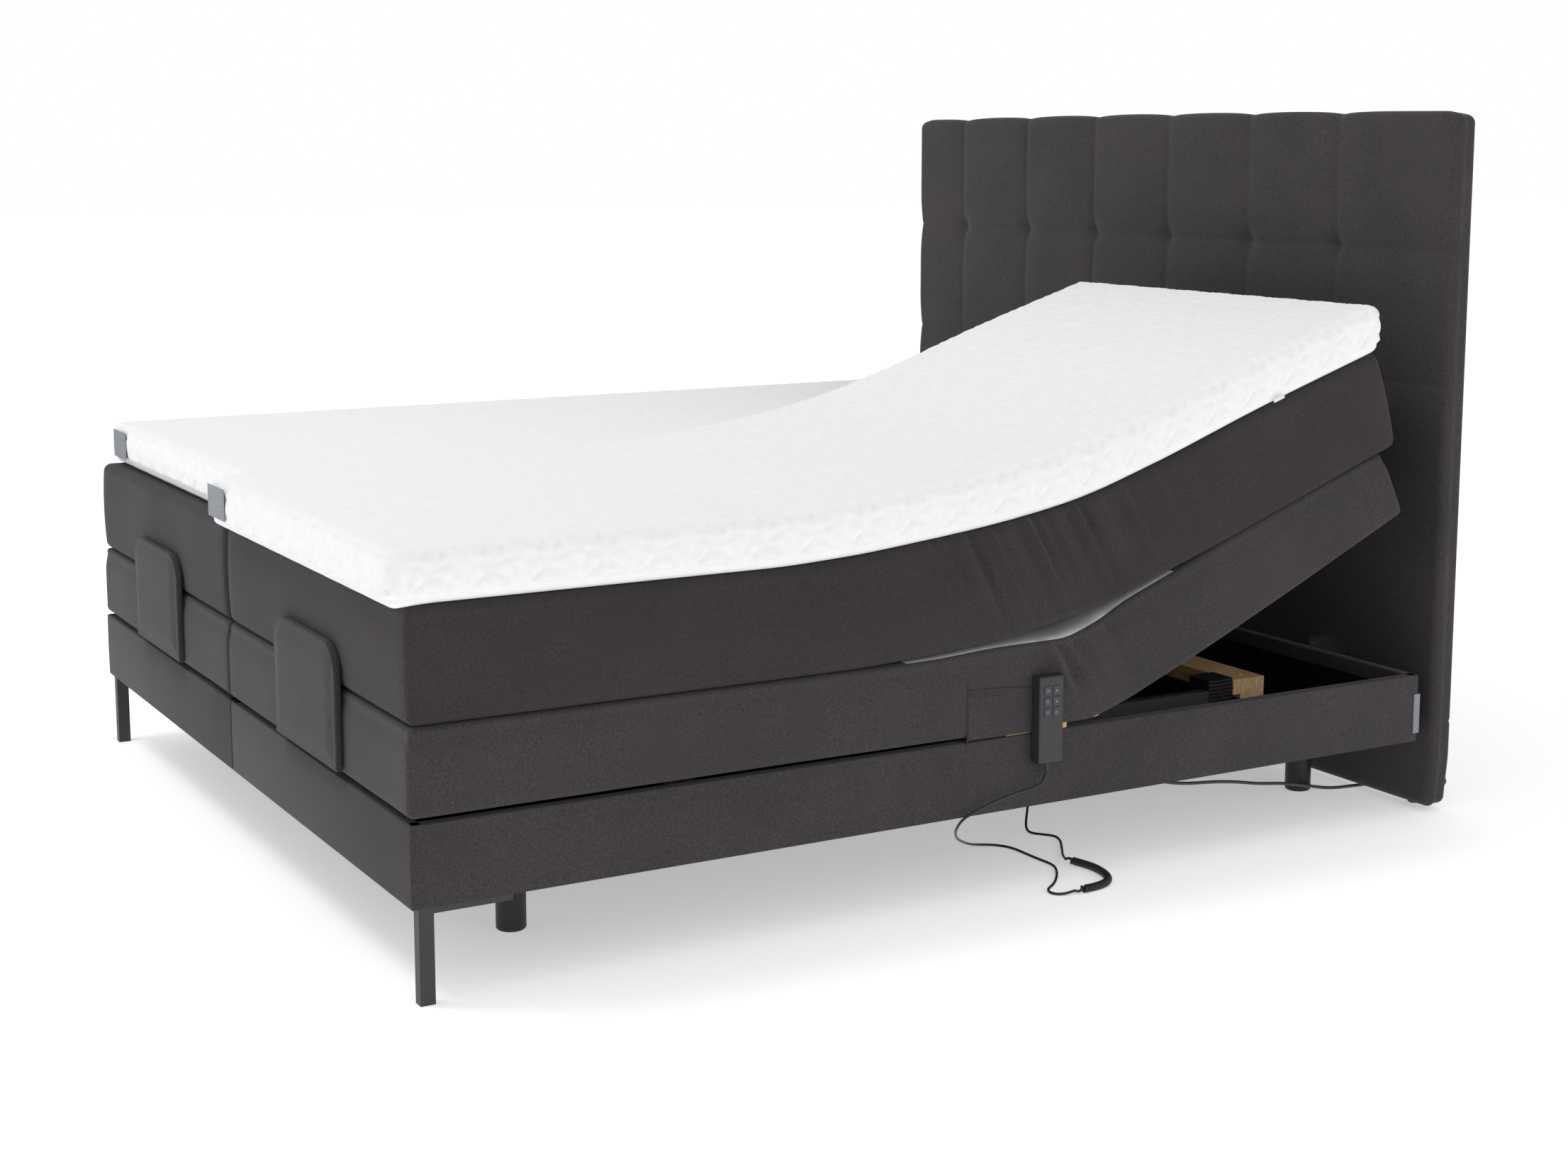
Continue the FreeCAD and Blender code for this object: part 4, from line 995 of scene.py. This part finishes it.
def add_retainer(side_name):
    """An upholstered plate: a rounded block whose upper corners are cut by quarter circles. Its
    front swells by a smooth step from the rim and has a stitched line, a bell, 9 mm inside it."""
    low, high = node_box("retainer_" + side_name)
    corner = RETAINER_CORNER
    front, back = low[1] - FOOT_Y, high[1] - FOOT_Y - 1.7
    spans = [(low[0] + 1, high[0] - 1), (front, back), (low[2], high[2])]
    points, outward, faces = rounded_block(spans, 5, (7, 5, 7))
    middle = (low[0] + high[0]) / 2
    half = (high[0] - low[0]) / 2
    reach = np.abs(points[:, 0] - middle)
    past = np.clip(reach - half + corner, 0, corner)
    top_here = high[2] - (corner - np.sqrt(np.clip(corner ** 2 - past ** 2, 0, None)))
    lowest_there = high[2] - corner
    share = np.clip((points[:, 2] - lowest_there) / corner, 0, 1)
    lowered = lowest_there + share * (top_here - lowest_there)
    points[:, 2] = np.where(points[:, 2] > lowest_there, lowered, points[:, 2])
    edge = np.minimum(half - reach, np.minimum(points[:, 2] - low[2], top_here - points[:, 2]))
    front_face = np.clip(-outward[:, 1], 0, 1)
    puff = 4.0 * smooth_step(edge, 0, 40) - 1.6 * np.exp(-((edge - 9) / 2.5) ** 2)
    points = shaped(points, outward, front_face * puff - 2.5 * front_face)
    piece = mesh_object("retainer_pad_" + side_name, to_metres(points), faces, BASE_FABRIC, 60.0)
    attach(piece, "calf_" + side_name)
    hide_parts("retainer_" + side_name)


def trim(name, path, radius, material, body):
    """A piping or cord trim along a path of (x, along, z) places."""
    piece = tube_mesh(name, [place(*p) for p in path], radius * MM, material, 8)
    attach(piece, body)
    return piece


def stitches(name, path, spacing, length, radius, material, body):
    """A row of thread stitches along a path: each is a short six-sided spindle."""
    line = smooth_curve(path, 400)
    middles = np.arange(spacing / 2, distances(line)[-1], spacing)
    centre = at_distances(line, middles)
    ahead = at_distances(line, middles + 0.5) - centre
    ahead /= np.linalg.norm(ahead, axis=1, keepdims=True)
    side = np.cross(ahead, [0.4, 0.1, 0.91])
    side /= np.linalg.norm(side, axis=1, keepdims=True)
    other = np.cross(ahead, side)
    rings = [(-0.5, 0.35), (-0.28, 1.0), (0.28, 1.0), (0.5, 0.35)]
    turn = np.linspace(0, 2 * math.pi, 6, endpoint=False)
    points = []
    for shift, scale in rings:
        for angle in turn:
            across = radius * scale * (math.cos(angle) * side + math.sin(angle) * other)
            points.append(centre + shift * length * ahead + across)
    points = np.stack(points, axis=1).reshape(-1, 3)
    faces = []
    for ring in range(3):
        for k in range(6):
            here, beside = ring * 6 + k, ring * 6 + (k + 1) % 6
            faces.append([here, beside, beside + 6, here + 6])
    for base in (0, 18):
        faces.append([base, base + 1, base + 2, base + 3])
        faces.append([base, base + 3, base + 4, base + 5])
    faces = np.array(faces)
    everything = (faces[None] + 24 * np.arange(len(centre))[:, None, None]).reshape(-1, 4)
    piece = mesh_object(name, to_metres(points), everything, material, 60.0)
    turn_faces_out(piece)
    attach(piece, body)
    return piece


POCKET_SAG = 14.0
HEM_DROP = 7.0


def add_pocket():
    """The handset's pocket: cloth that sags by s ** 1.5 towards its loose side, where s runs from
    0 to 1 along it, stands out by a half sine each way, and is creased by a wave."""
    low, high = node_box("handset_pocket")
    start, end = low[1] - FOOT_Y, high[1] - FOOT_Y
    s, t = np.meshgrid(np.linspace(0, 1, 61), np.linspace(0, 1, 31), indexing="ij")
    along = start + s * (end - start)
    sag = POCKET_SAG * s ** 1.5 * t
    z = low[2] + t * (high[2] - low[2]) - sag
    out = HALF_WIDTH + 0.8 + 2.2 * np.sin(math.pi * s) * np.sin(math.pi * t) ** 0.5 * s
    out += 0.7 * waves(along + z, [31.0, 47.0], 4) * s * np.sin(math.pi * t)
    points = np.column_stack([out.ravel(), along.ravel(), z.ravel()])
    quads = grid_faces(np.arange(s.size).reshape(s.shape))
    piece = mesh_object("pocket_cloth", to_metres(points), quads, BASE_FABRIC)
    solid = piece.modifiers.new("thickness", "SOLIDIFY")
    solid.thickness = 0.0015
    solid.offset = 1.0
    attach(piece, "base")
    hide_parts("handset_pocket")
    hem = [
        (HALF_WIDTH + 2.9, a, high[2] - POCKET_SAG * ((a - start) / (end - start)) ** 1.5 - HEM_DROP)
        for a in np.linspace(start + 3, end - 3, 12)
    ]
    stitches("pocket_stitches_upper", hem, 4.0, 3.0, 0.35, KEY_RUBBER, "base")
    lower = [(x, a, z - HEM_DROP) for x, a, z in hem]
    stitches("pocket_stitches_lower", lower, 4.0, 3.0, 0.35, KEY_RUBBER, "base")
    piping = [(HALF_WIDTH + 1.2, start - 1, z) for z in np.linspace(low[2] - 6, high[2] + 14, 8)]
    trim("pocket_piping", piping, 1.3, BLACK_NYLON, "base")


def add_block(name, spans, radius, material, body, carry=None):
    """A small block with rounded edges; carry moves its points, such as onto a bent layer."""
    points, _, faces = rounded_block(spans, radius, (6, 6, 6))
    if carry:
        points = carry(points)
    piece = mesh_object(name, to_metres(points), faces, material, 60.0)
    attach(piece, body)
    return piece


LABEL_LOW_X = {"right": 21.0, "left": -862.0}
LABEL_WIDTH = 96.0


def add_labels():
    """Blank woven labels: one at the foot of each topper, one in the base's seam at the head."""
    for side_name, low_x in LABEL_LOW_X.items():
        foot = flat_ends("topper", side_name == "right")[0]
        spans = [(low_x, low_x + LABEL_WIDTH), (foot - 7.2, foot - 5.8), (619.0, 675.0)]
        add_block("topper_label_" + side_name, spans, 0.7, LABEL_WEAVE, "calf_" + side_name)
    spans = [(HALF_WIDTH + 0.3, HALF_WIDTH + 1.9), (BED_LENGTH - 12, BED_LENGTH + 3), (165.0, 240.0)]
    add_block("base_label", spans, 0.7, LABEL_WEAVE, "base")


def onto_raised_topper(points):
    """Points given on the flat topper, carried onto the raised one."""
    return bent(points, "topper", True)


def add_zip_pull():
    """The pull of the right topper's zip, near its head."""
    spans = [(HALF_WIDTH + 1.5, HALF_WIDTH + 5.0), (1716.0, 1742.0), (4.0, 11.0)]
    add_block("zip_pull", spans, 1.6, ZIP_NYLON, "back_layers_right", onto_raised_topper)


def add_key_marks():
    """A printed triangle on each key, pointing up on the head side and down on the foot side."""
    for node_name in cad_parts:
        if not node_name.startswith("key_"):
            continue
        low, high = node_box(node_name)
        along, z = (low[1] + high[1]) / 2 - FOOT_Y, (low[2] + high[2]) / 2
        way = 1 if "head_side" in node_name else -1
        face = high[0] + 0.05
        base_z, tip_z = z - 2.2 * way, z + 2.6 * way
        corners = [(face, along - 3, base_z), (face, along + 3, base_z), (face, along, tip_z)]
        points = to_metres(np.array(corners))
        triangle = [(0, 1, 2)] if way > 0 else [(0, 2, 1)]
        piece = mesh_object(node_name + "_mark", points, triangle, PRINT_INK)
        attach(piece, node_name + "_body")


for side_name in SIDES:
    add_retainer(side_name)
add_pocket()
add_labels()
add_zip_pull()
add_key_marks()


# --- finishes on the frame's own pieces ------------------------------------------------------
NODE_FINISH = {
    "base_boards": LINING,
    "base_floors": FLOOR_BOARD,
    "corner_legs": LEG_PAINT,
    "support_legs": BLACK_NYLON,
    "frame_rails": ZINC,
    "beech_crossbars": BEECH,
    "rubber_fittings": RUBBER,
    "motors": MOTOR_ABS,
    "seat_frames": PINE,
    "bolts_and_screws": CHROME,
    "headboard_brackets": CHROME,
    "handset_body": HANDSET_ABS,
    "mains_plug": BLACK_NYLON,
}
for side_name in SIDES:
    for section in ("back", "thigh", "calf"):
        NODE_FINISH["%s_frame_%s" % (section, side_name)] = PINE
    NODE_FINISH["back_lift_" + side_name] = ZINC
    NODE_FINISH["leg_lift_" + side_name] = ZINC
for node_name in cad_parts:
    if node_name.startswith("key_"):
        NODE_FINISH[node_name] = KEY_RUBBER
for node_name, finish in NODE_FINISH.items():
    for material_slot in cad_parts[node_name].material_slots:
        material_slot.material = finish


# --- floor and light -------------------------------------------------------------------------
def add_floor():
    """A seamless paper floor, lit a little from itself so that it stays white."""
    material = new_material("white_paper_floor", 0.9, "f8f8f8")
    shader_of(material).inputs["Emission Color"].default_value = (1.0, 1.0, 1.0, 1.0)
    shader_of(material).inputs["Emission Strength"].default_value = 0.42
    mesh = bpy.data.meshes.new("floor")
    mesh.from_pydata([(-40, -40, 0), (40, -40, 0), (40, 40, 0), (-40, 40, 0)], [], [(0, 1, 2, 3)])
    mesh.materials.append(material)
    floor = bpy.data.objects.new("floor", mesh)
    SCENE.collection.objects.link(floor)


def add_light(name, at, aim, size, power):
    """A round soft light at one point in metres, aimed at another, of a size and watts."""
    data = bpy.data.lights.new(name, "AREA")
    data.shape = "DISK"
    data.size = size
    data.energy = power
    light = bpy.data.objects.new(name, data)
    light.location = at
    light.rotation_euler = (Vector(aim) - Vector(at)).to_track_quat("-Z", "Y").to_euler()
    SCENE.collection.objects.link(light)


def add_world(light, seen):
    """A studio surround: softer as light than it looks, so that the paper and it match."""
    world = bpy.data.worlds.new("studio")
    world.use_nodes = True
    tree = world.node_tree
    background = tree.nodes["Background"]
    background.inputs["Color"].default_value = (1.0, 1.0, 1.0, 1.0)
    path = tree.nodes.new("ShaderNodeLightPath")
    level = tree.nodes.new("ShaderNodeMapRange")
    level.inputs["To Min"].default_value = light
    level.inputs["To Max"].default_value = seen
    tree.links.new(path.outputs["Is Camera Ray"], level.inputs["Value"])
    tree.links.new(level.outputs[0], background.inputs["Strength"])
    SCENE.world = world


SCENE.view_settings.view_transform = "Standard"
add_floor()
add_world(0.70, 1.0)
add_light("key", (-0.6, -2.8, 5.2), (0, 0, 0.4), 1.6, 80)
add_light("fill", (5.0, 1.5, 1.8), (0.4, 0.4, 0.4), 2.5, 18)
